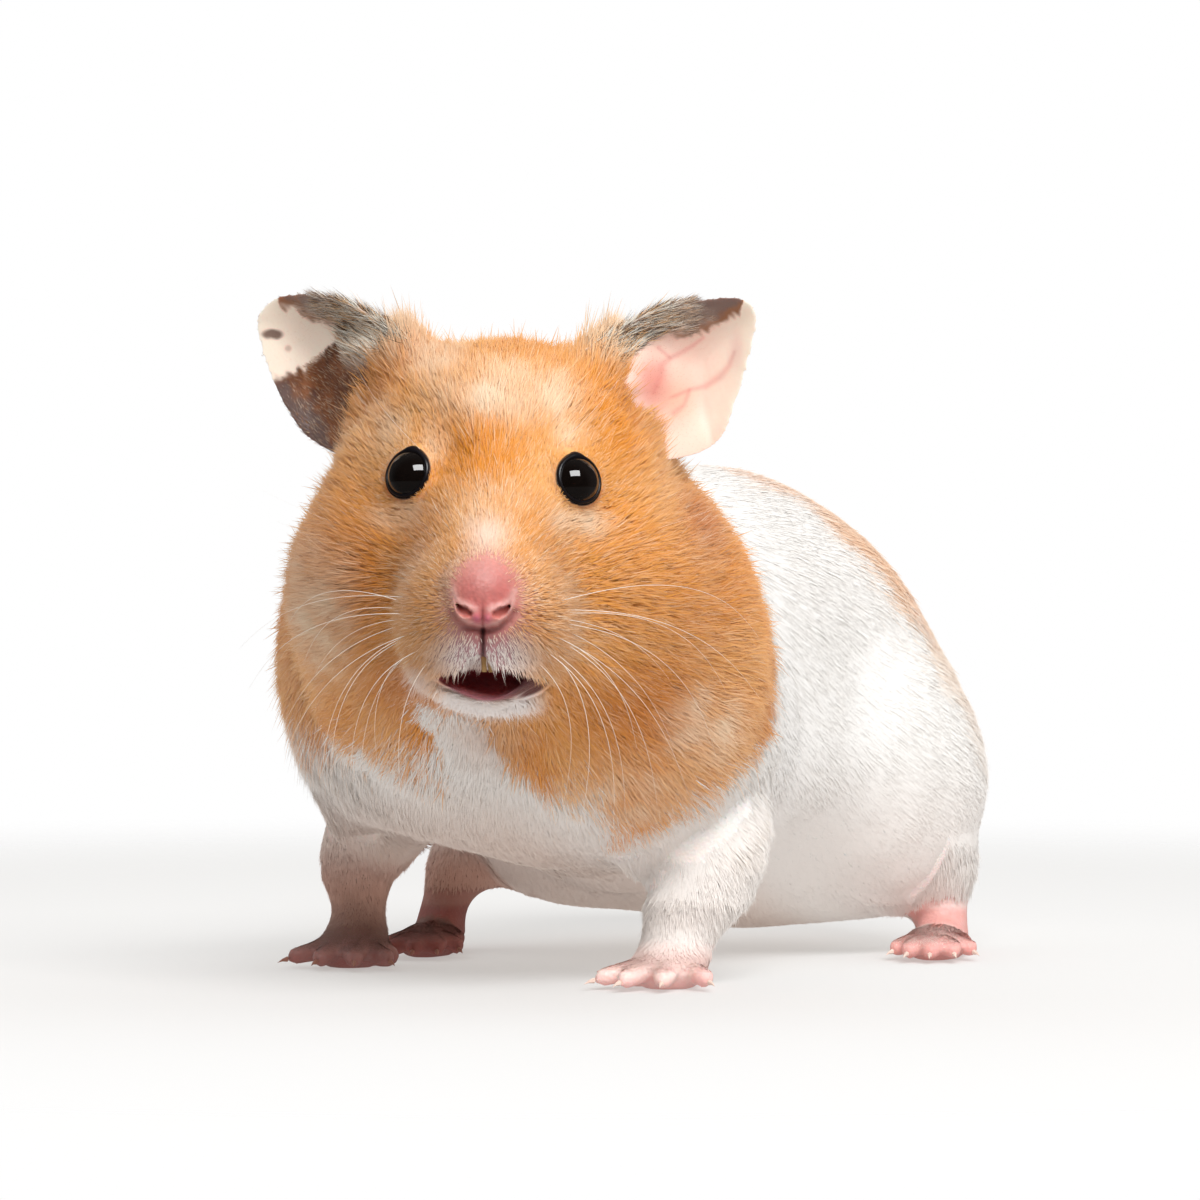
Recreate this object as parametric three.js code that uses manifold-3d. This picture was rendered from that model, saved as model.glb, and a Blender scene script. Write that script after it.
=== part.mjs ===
// A Syrian hamster, life size, standing on all four feet with its head turned to its left.
//
// Millimetres, +Z up, the floor at z = 0. The animal faces -Y and its left side is +X.
// The trunk is one rounded outline, made of overlapping eggs that flow into each other, and is
// parted by two thin cuts into head, neck and torso. Limbs, ears, nose, eyes and tail are pieces
// of their own, each cut back by what it grows from, so that the faces meet with a thin gap.

import * as THREE from "three";
import { mergeVertices } from "three/addons/utils/BufferGeometryUtils.js";
import Module from "manifold-3d";

const wasm = await Module();
wasm.setup();

// ---- driving sizes ----

const GAP = 0.3; // kept between touching pieces
const FLOW = 8; // how softly the forms of the trunk run into each other
const FACE_FLOW = 4; // the same for the smaller forms of the face

const EYE_LEVEL = 52.8; // height of the eyes over the floor
const EYE_SPREAD = 7.4; // from the middle of the face to the centre of an eyeball
const EYE_RADIUS = 3.3;
const HEAD_AT = [13.6, -45, EYE_LEVEL]; // the point midway between the eyes
const HEAD_TURN = 25; // degrees that the head looks to the animal's left
const HEAD_ROLL = 1.5;

const WRIST_HEIGHT = 4.6;
const ANKLE_HEIGHT = 5.2;

const CLAW_LENGTH = 1.3;
const CLAW_RADIUS = 0.3;

// ---- finishes ----

const FINISH = {
  golden_fur: { color: 0xd8964e, roughness: 0.85 },
  white_fur: { color: 0xf0ebe4, roughness: 0.85 },
  ear_skin: { color: 0xe9c4ad, roughness: 0.6 },
  nose_skin: { color: 0xdc8f8f, roughness: 0.5 },
  paw_skin: { color: 0xe8a8a0, roughness: 0.6 },
  eye_black: { color: 0x0c0807, roughness: 0.05 },
  claw_horn: { color: 0xe8d8c8, roughness: 0.4 },
};

const materials = Object.fromEntries(
  Object.entries(FINISH).map(([name, look]) => [
    name,
    new THREE.MeshStandardMaterial({ name, metalness: 0, ...look }),
  ]),
);

// ---- solids ----

// A closed three.js geometry as a solid that can be cut and joined.
function solidOf(geometry) {
  const shell = geometry.clone();
  shell.deleteAttribute("normal");
  shell.deleteAttribute("uv");
  const merged = mergeVertices(shell, 1e-4);
  return new wasm.Manifold(
    new wasm.Mesh({
      numProp: 3,
      vertProperties: new Float32Array(merged.attributes.position.array),
      triVerts: new Uint32Array(merged.index.array),
    }),
  );
}

// The largest closed surface of a solid, as a three.js geometry.
function geometryOf(solid) {
  const whole = solid.decompose().reduce((a, b) => (b.volume() > a.volume() ? b : a));
  const mesh = whole.getMesh();
  const geometry = new THREE.BufferGeometry();
  geometry.setAttribute("position", new THREE.BufferAttribute(mesh.vertProperties, 3));
  geometry.setIndex(new THREE.BufferAttribute(mesh.triVerts, 1));
  geometry.computeVertexNormals();
  return geometry;
}

const joined = (solids) => solids.reduce((a, b) => a.add(b));

// Everything behind a plane: a large box with one face on it. The plane passes through `at`, and
// `facing` is its outward direction.
function blockBehind(at, facing) {
  const size = 300;
  const away = new THREE.Vector3(...facing).normalize();
  const turn = new THREE.Quaternion().setFromUnitVectors(new THREE.Vector3(0, 0, 1), away);
  const centre = new THREE.Vector3(...at).addScaledVector(away, -size / 2);
  const box = new THREE.BoxGeometry(size, size, size);
  return solidOf(box.applyQuaternion(turn).translate(centre.x, centre.y, centre.z));
}

function ball(at, radius, sides = 24) {
  return solidOf(new THREE.SphereGeometry(radius, sides, sides / 2).translate(...at));
}

// An egg-shaped solid: a ball with three radii, turned about X, then Y, then Z, in degrees.
function eggSolid(at, size, turn = [0, 0, 0], sides = 20) {
  const egg = new THREE.SphereGeometry(1, sides, sides / 2).scale(...size);
  const angles = turn.map(THREE.MathUtils.degToRad);
  egg.rotateX(angles[0]).rotateY(angles[1]).rotateZ(angles[2]);
  return solidOf(egg.translate(...at));
}

// ---- rounded outlines ----
// A form is a function that gives a point's distance outside it, below zero inside.

function egg(at, size, turn = [0, 0, 0]) {
  const place = new THREE.Matrix4()
    .makeRotationFromEuler(new THREE.Euler(...turn.map(THREE.MathUtils.degToRad)))
    .setPosition(...at)
    .invert();
  const radii = new THREE.Vector3(...size);
  const squares = radii.clone().multiply(radii);
  const q = new THREE.Vector3();
  const n = new THREE.Vector3();
  return (p) => {
    q.copy(p).applyMatrix4(place);
    const far = n.copy(q).divide(radii).length();
    const slope = n.copy(q).divide(squares).length();
    return slope < 1e-9 ? -Math.min(...size) : (far * (far - 1)) / slope;
  };
}

// A tapered bar with round ends.
function taper(from, fromRadius, to, toRadius) {
  const start = new THREE.Vector3(...from);
  const along = new THREE.Vector3(...to).sub(start);
  const q = new THREE.Vector3();
  return (p) => {
    const t = THREE.MathUtils.clamp(q.subVectors(p, start).dot(along) / along.lengthSq(), 0, 1);
    return q.addScaledVector(along, -t).length() - THREE.MathUtils.lerp(fromRadius, toRadius, t);
  };
}

// The two mirror images of a form that is given for the left side.
const paired = (form, at, ...rest) => [
  form(at, ...rest),
  form([-at[0], at[1], at[2]], ...rest),
];

function flowing(forms, softness) {
  return (p) =>
    forms.reduce((least, form) => {
      const d = form(p);
      const h = Math.max(softness - Math.abs(least - d), 0) / softness;
      return Math.min(least, d) - (h * h * softness) / 4;
    }, 1e3);
}

// A ball of fine, even triangles, each corner pulled in along its ray from the centre until it
// lies on the outline, `grow` outside it.
function moulded(outline, centre, reach, detail, grow = 0) {
  const geometry = mergeVertices(bare(new THREE.IcosahedronGeometry(1, detail)), 1e-4);
  const corners = geometry.attributes.position;
  const from = new THREE.Vector3(...centre);
  const ray = new THREE.Vector3();
  const p = new THREE.Vector3();
  for (let i = 0; i < corners.count; i++) {
    ray.fromBufferAttribute(corners, i).normalize().multiply(new THREE.Vector3(...reach));
    let near = 0;
    let far = 2;
    for (let step = 0; step < 22; step++) {
      const middle = (near + far) / 2;
      p.copy(from).addScaledVector(ray, middle);
      if (outline(p) < grow) near = middle;
      else far = middle;
    }
    p.copy(from).addScaledVector(ray, near);
    corners.setXYZ(i, p.x, p.y, p.z);
  }
  return solidOf(geometry);
}

function bare(geometry) {
  geometry.deleteAttribute("normal");
  geometry.deleteAttribute("uv");
  return geometry;
}

// A limb: a tube with blunt round ends along a smooth curve through its stations. Each station is
// [x, y, z, half width across the body, half depth].
function limb(stations, sides = 16, steps = 14) {
  const path = new THREE.CatmullRomCurve3(stations.map((s) => new THREE.Vector3(...s.slice(0, 3))));
  const girth = new THREE.CatmullRomCurve3(
    stations.map((s) => new THREE.Vector3(s[3], s[4], 0)),
  );
  const shell = bare(new THREE.SphereGeometry(1, sides, steps));
  const corners = shell.attributes.position;
  const v = new THREE.Vector3();
  for (let i = 0; i < corners.count; i++) {
    v.fromBufferAttribute(corners, i);
    const along = Math.acos(THREE.MathUtils.clamp(v.y, -1, 1)) / Math.PI;
    const ring = Math.sin(along * Math.PI);
    const swell = ring > 1e-6 ? ring ** 0.35 / ring : 0;
    const tangent = path.getTangent(along);
    const across = new THREE.Vector3(1, 0, 0).addScaledVector(tangent, -tangent.x).normalize();
    const deep = new THREE.Vector3().crossVectors(across, tangent);
    const size = girth.getPoint(along);
    const p = path
      .getPoint(along)
      .addScaledVector(across, v.x * swell * size.x)
      .addScaledVector(deep, v.z * swell * size.y);
    corners.setXYZ(i, p.x, p.y, p.z);
  }
  const solid = solidOf(shell);
  return solid.volume() > 0 ? solid : solidOf(flipped(shell));
}

// The same geometry with every face turned round.
function flipped(geometry) {
  const turned = geometry.index ? geometry.toNonIndexed() : geometry.clone();
  const p = turned.attributes.position.array;
  for (let i = 0; i < p.length; i += 9) {
    for (let k = 0; k < 3; k++) [p[i + 3 + k], p[i + 6 + k]] = [p[i + 6 + k], p[i + 3 + k]];
  }
  return turned;
}

// ---- the trunk's outline ----

const headFrame = new THREE.Matrix4()
  .makeRotationFromEuler(
    new THREE.Euler(
      0,
      THREE.MathUtils.degToRad(HEAD_ROLL),
      THREE.MathUtils.degToRad(HEAD_TURN),
      "ZYX",
    ),
  )
  .setPosition(...HEAD_AT);
const toHead = headFrame.clone().invert();

// Given in the body's frame.
const bodyForms = [
  egg([0.5, 5, 30.5], [24.5, 30, 22.6]), // rib cage
  egg([1, 27, 31.5], [22.5, 26.5, 23.6]), // loins
  egg([1.5, 37, 25], [23, 28, 23.6]), // rump
  egg([18, 36, 18], [12, 18, 14.4]), // left haunch
  egg([-17, 28, 18.5], [12, 18, 14.4]), // right haunch
  egg([0, 16, 22.5], [24, 30, 12]), // belly
  egg([-1.5, -10, 29], [25.5, 17, 16.8]), // chest
  egg([1, -8, 34], [19, 16, 21.5]), // shoulder blades
  egg([16, -11, 22], [8.5, 9, 10]), // left shoulder
  egg([-19.8, -8, 22], [9, 10, 12]), // right shoulder
  egg([3, -21, 35], [27.5, 17, 24]), // neck and ruff
  egg([8, -33, 33], [15, 11, 13]), // bib under the throat
  egg([-3, -33, 38], [9, 12, 13]), // side of the neck, stretched by the turn of the head
];

// Given in the head's frame: its origin is midway between the eyes.
const faceForms = [
  egg([0, 10, 1], [14.5, 15, 13.4]), // skull
  ...paired(egg, [10.5, 11, 7], [6.5, 6.5, 6.5]), // mounds that the ears grow from
  ...paired(egg, [8.5, 5, -1.5], [7, 7.6, 7]), // brows and temples, round the eyes
  ...paired(egg, [9.5, 8, -10], [10.5, 12, 10.5]), // cheeks
  taper([0, 2, -4], 10, [0, -8.6, -10.4], 5.4), // snout
  ...paired(egg, [3.2, -8.8, -14.4], [4.5, 5, 4.4]), // whisker pads and upper lip
  egg([0, -6, -19.5], [6.2, 6.6, 3.7]), // lower lip and chin
  egg([0, 4, -17], [12, 10, 7]), // throat
];

const faceOutline = flowing(faceForms, FACE_FLOW);
const bodyOutline = flowing(bodyForms, FLOW);

// An outline as it is seen from another frame, given that frame's place in the outline's own.
function seenFrom(frame, outline) {
  const q = new THREE.Vector3();
  return (p) => outline(q.copy(p).applyMatrix4(frame));
}

const trunk = flowing([bodyOutline, seenFrom(toHead, faceOutline)], FLOW);
const trunkFromHead = seenFrom(headFrame, trunk);

// ---- the two cuts ----

const SHOULDER_CUT = { at: [2, -21, 33], facing: [0.14, -0.9, 0.4] }; // faces the head
const NAPE_CUT = { at: [0, 10, -3], facing: [0, 0.87, -0.49] }; // faces the body, in the head's frame

// How far a point lies out along a cut's facing.
function beyond({ at, facing }) {
  const from = new THREE.Vector3(...at);
  const away = new THREE.Vector3(...facing).normalize();
  const q = new THREE.Vector3();
  return (p) => q.subVectors(p, from).dot(away);
}

// An outline that ends a little past the cuts, so that the triangles stay even up to them.
const CUT_MARGIN = 4;

function ending(outline, ...ends) {
  return (p) => Math.max(outline(p), ...ends.map((end) => end(p) - CUT_MARGIN));
}

const backward = (end) => (p) => -end(p);

// A cut moved along its own facing, so that the two sides stand the gap apart.
function cutMoved({ at, facing }, by) {
  const away = new THREE.Vector3(...facing).normalize();
  return blockBehind(new THREE.Vector3(...at).addScaledVector(away, by).toArray(), facing);
}

const NAPE_CUT_IN_BODY = {
  at: new THREE.Vector3(...NAPE_CUT.at).applyMatrix4(headFrame).toArray(),
  facing: new THREE.Vector3(...NAPE_CUT.facing).transformDirection(headFrame).toArray(),
};

// ---- torso and neck ----

const TORSO_CENTRE = [1, 9, 29];
const TORSO_REACH = [30, 46, 30];

const torsoOutline = ending(trunk, beyond(SHOULDER_CUT));
const torsoGrown = moulded(torsoOutline, TORSO_CENTRE, TORSO_REACH, 10, GAP);
const torso = moulded(torsoOutline, TORSO_CENTRE, TORSO_REACH, 10)
  .intersect(cutMoved(SHOULDER_CUT, -GAP / 2));

const NECK_CENTRE = [6, -27, 39];
const neckOutline = ending(
  trunk,
  backward(beyond(SHOULDER_CUT)),
  backward(beyond(NAPE_CUT_IN_BODY)),
);
const neck = moulded(neckOutline, NECK_CENTRE, [36, 30, 36], 10)
  .subtract(cutMoved(SHOULDER_CUT, GAP / 2))
  .subtract(cutMoved(NAPE_CUT_IN_BODY, GAP / 2));

// ---- head, in its own frame ----

const gaze = (side) => new THREE.Vector3(side * 0.6, -0.78, 0.15).normalize();
const eyeCentre = (side) => new THREE.Vector3(side * EYE_SPREAD, -1.8, -0.6);

// The lids stand round the eye as a low, rounded rim.
function lids(side) {
  const opening = 3.05;
  const rim = new THREE.TorusGeometry(opening, 0.62, 6, 20);
  const turn = new THREE.Quaternion().setFromUnitVectors(new THREE.Vector3(0, 0, 1), gaze(side));
  const at = eyeCentre(side).addScaledVector(gaze(side), 1.35);
  return solidOf(rim.applyQuaternion(turn).translate(...at.toArray()));
}

function socket(side) {
  return ball(eyeCentre(side).toArray(), EYE_RADIUS + GAP, 18);
}

// The open mouth, a flat hollow wider than it is high, and the split of the upper lip over it.
const mouthHollow = joined([
  eggSolid([0, -10.5, -20.5], [4.5, 5.4, 1.7], [0, 0, 0], 16),
  eggSolid([0, -12.5, -19], [1.6, 3.4, 1.3], [0, 0, 0], 10),
]);
const lipSplit = eggSolid([0, -14.4, -17], [0.3, 1.6, 3], [0, 0, 0], 10);

const HEAD_CENTRE = [0, 0, -6];
const HEAD_REACH = [26, 26, 26];

function headWhole(grow, detail) {
  const outline = ending(trunkFromHead, beyond(NAPE_CUT));
  return moulded(outline, HEAD_CENTRE, HEAD_REACH, detail, grow);
}

const headGrown = headWhole(GAP, 13);

const NOSE = { at: [0, -12.5, -11.4], size: [3.7, 3.8, 3.6] };

const head = joined([headWhole(0, 13), lids(1), lids(-1)])
  .subtract(socket(1))
  .subtract(socket(-1))
  .subtract(mouthHollow)
  .subtract(lipSplit)
  .intersect(cutMoved(NAPE_CUT, -GAP / 2));

// The bare nose: a rounded pad with two lobes below, a comma-shaped nostril in each, and the
// groove between them.
const nose = joined([
  eggSolid(NOSE.at, NOSE.size, [12, 0, 0], 22),
  eggSolid([1.25, -14.6, -13.5], [1.5, 1.7, 1.3], [0, 0, 0], 12),
  eggSolid([-1.25, -14.6, -13.5], [1.5, 1.7, 1.3], [0, 0, 0], 12),
])
  .subtract(eggSolid([1.95, -15.8, -12.8], [1.05, 1.3, 0.5], [0, -24, 24], 10))
  .subtract(eggSolid([-1.95, -15.8, -12.8], [1.05, 1.3, 0.5], [0, 24, -24], 10))
  .subtract(eggSolid([0, -16.5, -13.8], [0.28, 1.1, 2.2], [0, 0, 0], 8))
  .subtract(headGrown);

// ---- ears, in the head's frame ----
// An ear is a thin cupped leaf with a corner at its tip. The rim runs through these points, each
// [out from the middle, back, up].

const EAR_RIM = {
  left: [
    [8.5, 9, 11.5],
    [14, 7.4, 16.4],
    [19.8, 7.4, 18.2],
    [24.2, 8.8, 18.5],
    [25.8, 10, 17],
    [25.2, 11, 12.6],
    [23.8, 12, 8.4],
    [20.8, 12.4, 3.8],
    [16, 12, 1.6],
    [10, 11, 5],
  ],
  right: [
    [8.5, 9, 11.5],
    [13.8, 7.4, 15.9],
    [19.4, 7.4, 17.6],
    [23.4, 8.8, 17.3],
    [25.6, 10, 15],
    [25, 11, 11.6],
    [23.4, 12, 8],
    [20.4, 12.4, 3.6],
    [16, 12, 1.6],
    [10, 11, 5],
  ],
};
const EAR_CUP = 4.2; // how deep the leaf is hollowed
const EAR_THICKNESS = 0.9;

function ear(side) {
  const points = EAR_RIM[side > 0 ? "left" : "right"];
  const around = points.map((p) => new THREE.Vector3(side * p[0], p[1], p[2]));
  const rim = new THREE.CatmullRomCurve3(around, true);
  const centre = around
    .reduce((sum, p) => sum.add(p), new THREE.Vector3())
    .divideScalar(around.length);
  const backward = new THREE.Vector3(side * -0.25, 0.96, -0.1).normalize();
  const face = (sign) => {
    const sheet = bare(new THREE.PlaneGeometry(2, 2, 12, 12));
    const corners = sheet.attributes.position;
    for (let i = 0; i < corners.count; i++) {
      const a = corners.getX(i);
      const b = corners.getY(i);
      const u = a * Math.sqrt(1 - (b * b) / 2);
      const v = b * Math.sqrt(1 - (a * a) / 2);
      const out = Math.min(1, Math.hypot(u, v));
      const turn = (Math.atan2(v, u) / (2 * Math.PI) + 1) % 1;
      const depth = EAR_CUP * (1 - out ** 2.2) + (sign * EAR_THICKNESS * Math.sqrt(1 - out ** 8)) / 2;
      const p = centre.clone().lerp(rim.getPoint(turn), out).addScaledVector(backward, depth);
      corners.setXYZ(i, p.x, p.y, p.z);
    }
    return sheet;
  };
  const back = face(1).toNonIndexed();
  const front = flipped(face(-1));
  const both = new THREE.BufferGeometry();
  both.setAttribute(
    "position",
    new THREE.BufferAttribute(
      new Float32Array([...back.attributes.position.array, ...front.attributes.position.array]),
      3,
    ),
  );
  const leaf = solidOf(both);
  return (leaf.volume() > 0 ? leaf : solidOf(flipped(both))).subtract(headGrown);
}

// ---- feet, each in its own frame ----
// The origin is on the floor under the wrist or ankle, and the toes point to -Y.

const SOLE = 0; // the feet are cut flat at the floor
const TOE_TIP_HEIGHT = 1.05;

// A toe: a bar from the palm over a raised knuckle down to its tip, where it is cut flat.
// `turn` is in degrees, outwards for a left foot.
function toeFrame(side, root, turn) {
  const angle = THREE.MathUtils.degToRad(side * turn);
  return {
    start: new THREE.Vector3(side * root[0], root[1], root[2]),
    way: new THREE.Vector3(Math.sin(angle), -Math.cos(angle), 0),
  };
}

function toe(side, { root, turn, length, radius }) {
  const { start, way } = toeFrame(side, root, turn);
  const knuckle = start.clone().addScaledVector(way, length * 0.5).setZ(radius + 0.75);
  const tip = start.clone().addScaledVector(way, length).setZ(TOE_TIP_HEIGHT - 0.1);
  const bar = limb(
    [
      [...start.toArray(), radius, radius],
      [...knuckle.toArray(), radius, radius],
      [...tip.toArray(), radius * 0.82, radius * 0.82],
    ],
    8,
    6,
  );
  const end = tip.clone().addScaledVector(way, -radius * 0.25);
  return bar.intersect(blockBehind(end.toArray(), way.toArray()));
}

// A claw: a small curved cone that stands the gap off the flat end of its toe.
function claw(side, { root, turn, length, radius }) {
  const { start, way } = toeFrame(side, root, turn);
  const base = start
    .clone()
    .addScaledVector(way, length - radius * 0.25 + GAP)
    .setZ(TOE_TIP_HEIGHT);
  const cone = bare(new THREE.ConeGeometry(CLAW_RADIUS, CLAW_LENGTH, 6, 2));
  const corners = cone.attributes.position;
  for (let i = 0; i < corners.count; i++) {
    const along = corners.getY(i) + CLAW_LENGTH / 2;
    const droop = 0.22 * along * along;
    const p = base
      .clone()
      .addScaledVector(way, along)
      .addScaledVector(new THREE.Vector3(-way.y, way.x, 0), corners.getX(i))
      .add(new THREE.Vector3(0, 0, corners.getZ(i) - droop));
    corners.setXYZ(i, p.x, p.y, p.z);
  }
  const solid = solidOf(cone);
  return solid.volume() > 0 ? solid : solidOf(flipped(cone));
}

const FOREPAW = {
  palm: { at: [0.2, -3.4, 2.0], size: [4.0, 4.4, 2.3] },
  stub: [
    [0, -3.6, 1.6, 3.7, 3.4],
    [0, -0.8, 3.4, 3.6, 3.3],
    [0, 0.6, 6.4, 3.5, 3.3],
  ],
  toes: [
    { root: [-1.8, -4.4, 1.6], turn: -34, length: 6.6, radius: 1.15 },
    { root: [-0.6, -5.2, 1.7], turn: -11, length: 6.8, radius: 1.2 },
    { root: [1.0, -4.9, 1.7], turn: 13, length: 6.4, radius: 1.2 },
    { root: [2.2, -3.6, 1.6], turn: 46, length: 5.8, radius: 1.15 },
  ],
  thumb: { at: [-3.4, -2.6, 1.2], size: [1.5, 1.6, 1.2] },
  joint: WRIST_HEIGHT,
};

const HINDFOOT = {
  palm: { at: [0, -8, 1.7], size: [3.7, 8.4, 2.1] },
  stub: [
    [0, -4, 1.8, 3.0, 3.2],
    [0, -0.8, 3.0, 3.0, 3.2],
    [0, 0.2, 7.2, 3.2, 3.4],
  ],
  toes: [
    { root: [-2.2, -11.0, 1.5], turn: -28, length: 4.6, radius: 1.05 },
    { root: [-1.3, -13.2, 1.6], turn: -12, length: 5.4, radius: 1.15 },
    { root: [0, -13.6, 1.6], turn: 2, length: 5.8, radius: 1.15 },
    { root: [1.3, -13.0, 1.6], turn: 16, length: 5.4, radius: 1.15 },
    { root: [2.2, -10.8, 1.5], turn: 34, length: 4.4, radius: 1.05 },
  ],
  joint: ANKLE_HEIGHT,
};

function foot(side, plan, body) {
  const mirrored = ([x, ...rest]) => [side * x, ...rest];
  const pieces = [
    eggSolid(mirrored(plan.palm.at), plan.palm.size, [0, 0, 0], 14),
    limb(plan.stub.map(mirrored), 12, 8),
    ...plan.toes.map((t) => toe(side, t)),
  ];
  if (plan.thumb) pieces.push(eggSolid(mirrored(plan.thumb.at), plan.thumb.size, [0, 0, 0], 10));
  return joined(pieces)
    .intersect(blockBehind([0, 0, plan.joint - GAP / 2], [0, 0, 1]))
    .subtract(blockBehind([0, 0, SOLE], [0, 0, 1]))
    .subtract(body);
}

// ---- limbs ----
// Where each foot stands, the way it points, and the leg's stations from inside the body down to
// below the wrist or ankle, where it is cut level.

const LEGS = {
  foreleg_left: {
    foot: "forepaw_left",
    plan: FOREPAW,
    side: 1,
    stands: [19.8, -16.6],
    turn: 6,
    stations: [
      [16, -7, 28, 8, 9],
      [20.5, -10.5, 17, 7.6, 7.2],
      [21, -13.8, 11, 5.4, 5],
      [19.8, -16.6, 6, 3.8, 3.6],
      [19.8, -17.6, 2.4, 3.4, 3.2],
    ],
  },
  foreleg_right: {
    foot: "forepaw_right",
    plan: FOREPAW,
    side: -1,
    stands: [-24.4, -7.4],
    turn: 19,
    stations: [
      [-16, -5, 28, 8, 9],
      [-23, -5, 17, 7.2, 7],
      [-25.2, -6.2, 11, 5, 4.8],
      [-24.4, -7.4, 6, 3.3, 3.4],
      [-24.4, -8.4, 2.4, 3, 3],
    ],
  },
  hindleg_left: {
    foot: "hindfoot_left",
    plan: HINDFOOT,
    side: 1,
    stands: [24.8, 40],
    turn: 19,
    stations: [
      [18, 40, 24, 9, 11],
      [22, 38, 15, 7, 9],
      [24.6, 39, 9, 4.6, 5.4],
      [24.8, 40, 5, 3.3, 3.5],
      [24.8, 40, 2.4, 3, 3],
    ],
  },
  hindleg_right: {
    foot: "hindfoot_right",
    plan: HINDFOOT,
    side: -1,
    stands: [-28, 17],
    turn: 21,
    stations: [
      [-16, 28, 24, 9, 11],
      [-22, 23, 15, 7, 9],
      [-26.4, 19, 9.5, 4.6, 5.2],
      [-28, 17, 5, 3.3, 3.5],
      [-28, 17, 2.4, 3, 3],
    ],
  },
};

function leg({ stations, plan }) {
  return limb(stations)
    .subtract(blockBehind([0, 0, plan.joint + GAP / 2], [0, 0, 1]))
    .subtract(torsoGrown);
}

// The short bare tail under the rump.
const tail = limb(
  [
    [0.6, 58, 15, 2.4, 2.4],
    [0.6, 65, 14, 2, 2],
    [0.4, 70, 12, 1.4, 1.4],
    [0.2, 73.5, 9.8, 0.8, 0.8],
  ],
  12,
  14,
).subtract(torsoGrown);

// ---- assembly ----

function piece(name, solid, finish) {
  const mesh = new THREE.Mesh(geometryOf(solid), materials[finish]);
  mesh.name = name;
  return mesh;
}

const headGroup = new THREE.Group();
headGroup.applyMatrix4(headFrame);
headGroup.add(
  piece("head", head, "golden_fur"),
  piece("nose", nose, "nose_skin"),
);
for (const [name, side] of [
  ["left", 1],
  ["right", -1],
]) {
  headGroup.add(piece(`ear_${name}`, ear(side), "ear_skin"));
  const eyeball = new THREE.Mesh(
    new THREE.SphereGeometry(EYE_RADIUS, 18, 12),
    materials.eye_black,
  );
  eyeball.name = `eye_${name}`;
  eyeball.position.copy(eyeCentre(side));
  headGroup.add(eyeball);
}

const hamster = new THREE.Group();
hamster.add(
  headGroup,
  piece("neck", neck, "golden_fur"),
  piece("torso", torso, "white_fur"),
  piece("tail", tail, "paw_skin"),
);

for (const [name, plan] of Object.entries(LEGS)) {
  hamster.add(piece(name, leg(plan), "white_fur"));
  const footGroup = new THREE.Group();
  footGroup.position.set(...plan.stands, 0);
  footGroup.rotation.z = THREE.MathUtils.degToRad(plan.turn);
  footGroup.updateMatrix();
  const outlineFromFoot = seenFrom(footGroup.matrix, torsoOutline);
  const centreFromFoot = new THREE.Vector3(...TORSO_CENTRE)
    .applyMatrix4(footGroup.matrix.clone().invert());
  const body = moulded(outlineFromFoot, centreFromFoot.toArray(), TORSO_REACH, 10, GAP);
  footGroup.add(piece(plan.foot, foot(plan.side, plan.plan, body), "paw_skin"));
  plan.plan.toes.forEach((toePlan, i) => {
    footGroup.add(piece(`${plan.foot}_claw_${i + 1}`, claw(plan.side, toePlan), "claw_horn"));
  });
  hamster.add(footGroup);
}

// The part's origin is on the floor, under the middle of the whole animal.
const box = new THREE.Box3().setFromObject(hamster, true);
const middle = box.getCenter(new THREE.Vector3());
hamster.position.set(-middle.x, -middle.y, 0);

export default hamster;
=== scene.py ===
import math

import bmesh
import bpy
import numpy as np
from mathutils import Matrix, Vector
from mathutils.bvhtree import BVHTree


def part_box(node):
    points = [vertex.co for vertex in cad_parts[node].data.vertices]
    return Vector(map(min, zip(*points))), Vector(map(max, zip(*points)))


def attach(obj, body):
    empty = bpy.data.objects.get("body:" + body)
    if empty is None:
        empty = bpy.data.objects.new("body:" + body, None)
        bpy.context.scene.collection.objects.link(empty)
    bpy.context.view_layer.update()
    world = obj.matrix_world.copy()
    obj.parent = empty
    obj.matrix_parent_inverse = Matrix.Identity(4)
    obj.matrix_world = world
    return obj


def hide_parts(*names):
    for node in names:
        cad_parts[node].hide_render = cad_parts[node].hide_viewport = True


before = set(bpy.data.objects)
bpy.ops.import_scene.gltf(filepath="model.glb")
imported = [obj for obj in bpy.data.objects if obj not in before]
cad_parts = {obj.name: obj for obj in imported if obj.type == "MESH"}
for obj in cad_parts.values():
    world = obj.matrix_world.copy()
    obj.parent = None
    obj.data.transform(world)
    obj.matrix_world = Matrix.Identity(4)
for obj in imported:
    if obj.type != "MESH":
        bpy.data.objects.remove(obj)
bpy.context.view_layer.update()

# The skin is one sheet over head, neck, trunk, tail, legs and feet, with no seam between them.
# It is pink where it is bare, on the nose, lips and feet, and lies under the coat elsewhere.
MM = 0.001
FLESH = ["head", "neck", "torso", "nose", "tail"]
SIDES = ("left", "right")
FLESH += [f"{limb}_{side}" for limb in ("foreleg", "forepaw", "hindleg", "hindfoot") for side in SIDES]
JOIN_GROW = 0.3  # closes the thin gaps between the solids
SKIN_CELL = 0.36


def middle(node):
    low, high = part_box(node)
    return (low + high) / 2 / MM


left_eye = middle("eye_left")
right_eye = middle("eye_right")
head_x = (left_eye - right_eye).normalized()
head_y = Vector((0, 0, 1)).cross(head_x).normalized()
head_z = head_x.cross(head_y)
HEAD = np.array([head_x, head_y, head_z])  # rows: to the animal's left, back, up
BROW = np.array((left_eye + right_eye) / 2) - np.array([0, -1.8, -0.6]) @ HEAD


def in_head(points):
    """Places in mm from between the eyes: to the animal's left, back and up."""
    return (points - BROW) @ HEAD.T


def from_head(points):
    return np.asarray(points) @ HEAD + BROW


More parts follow.
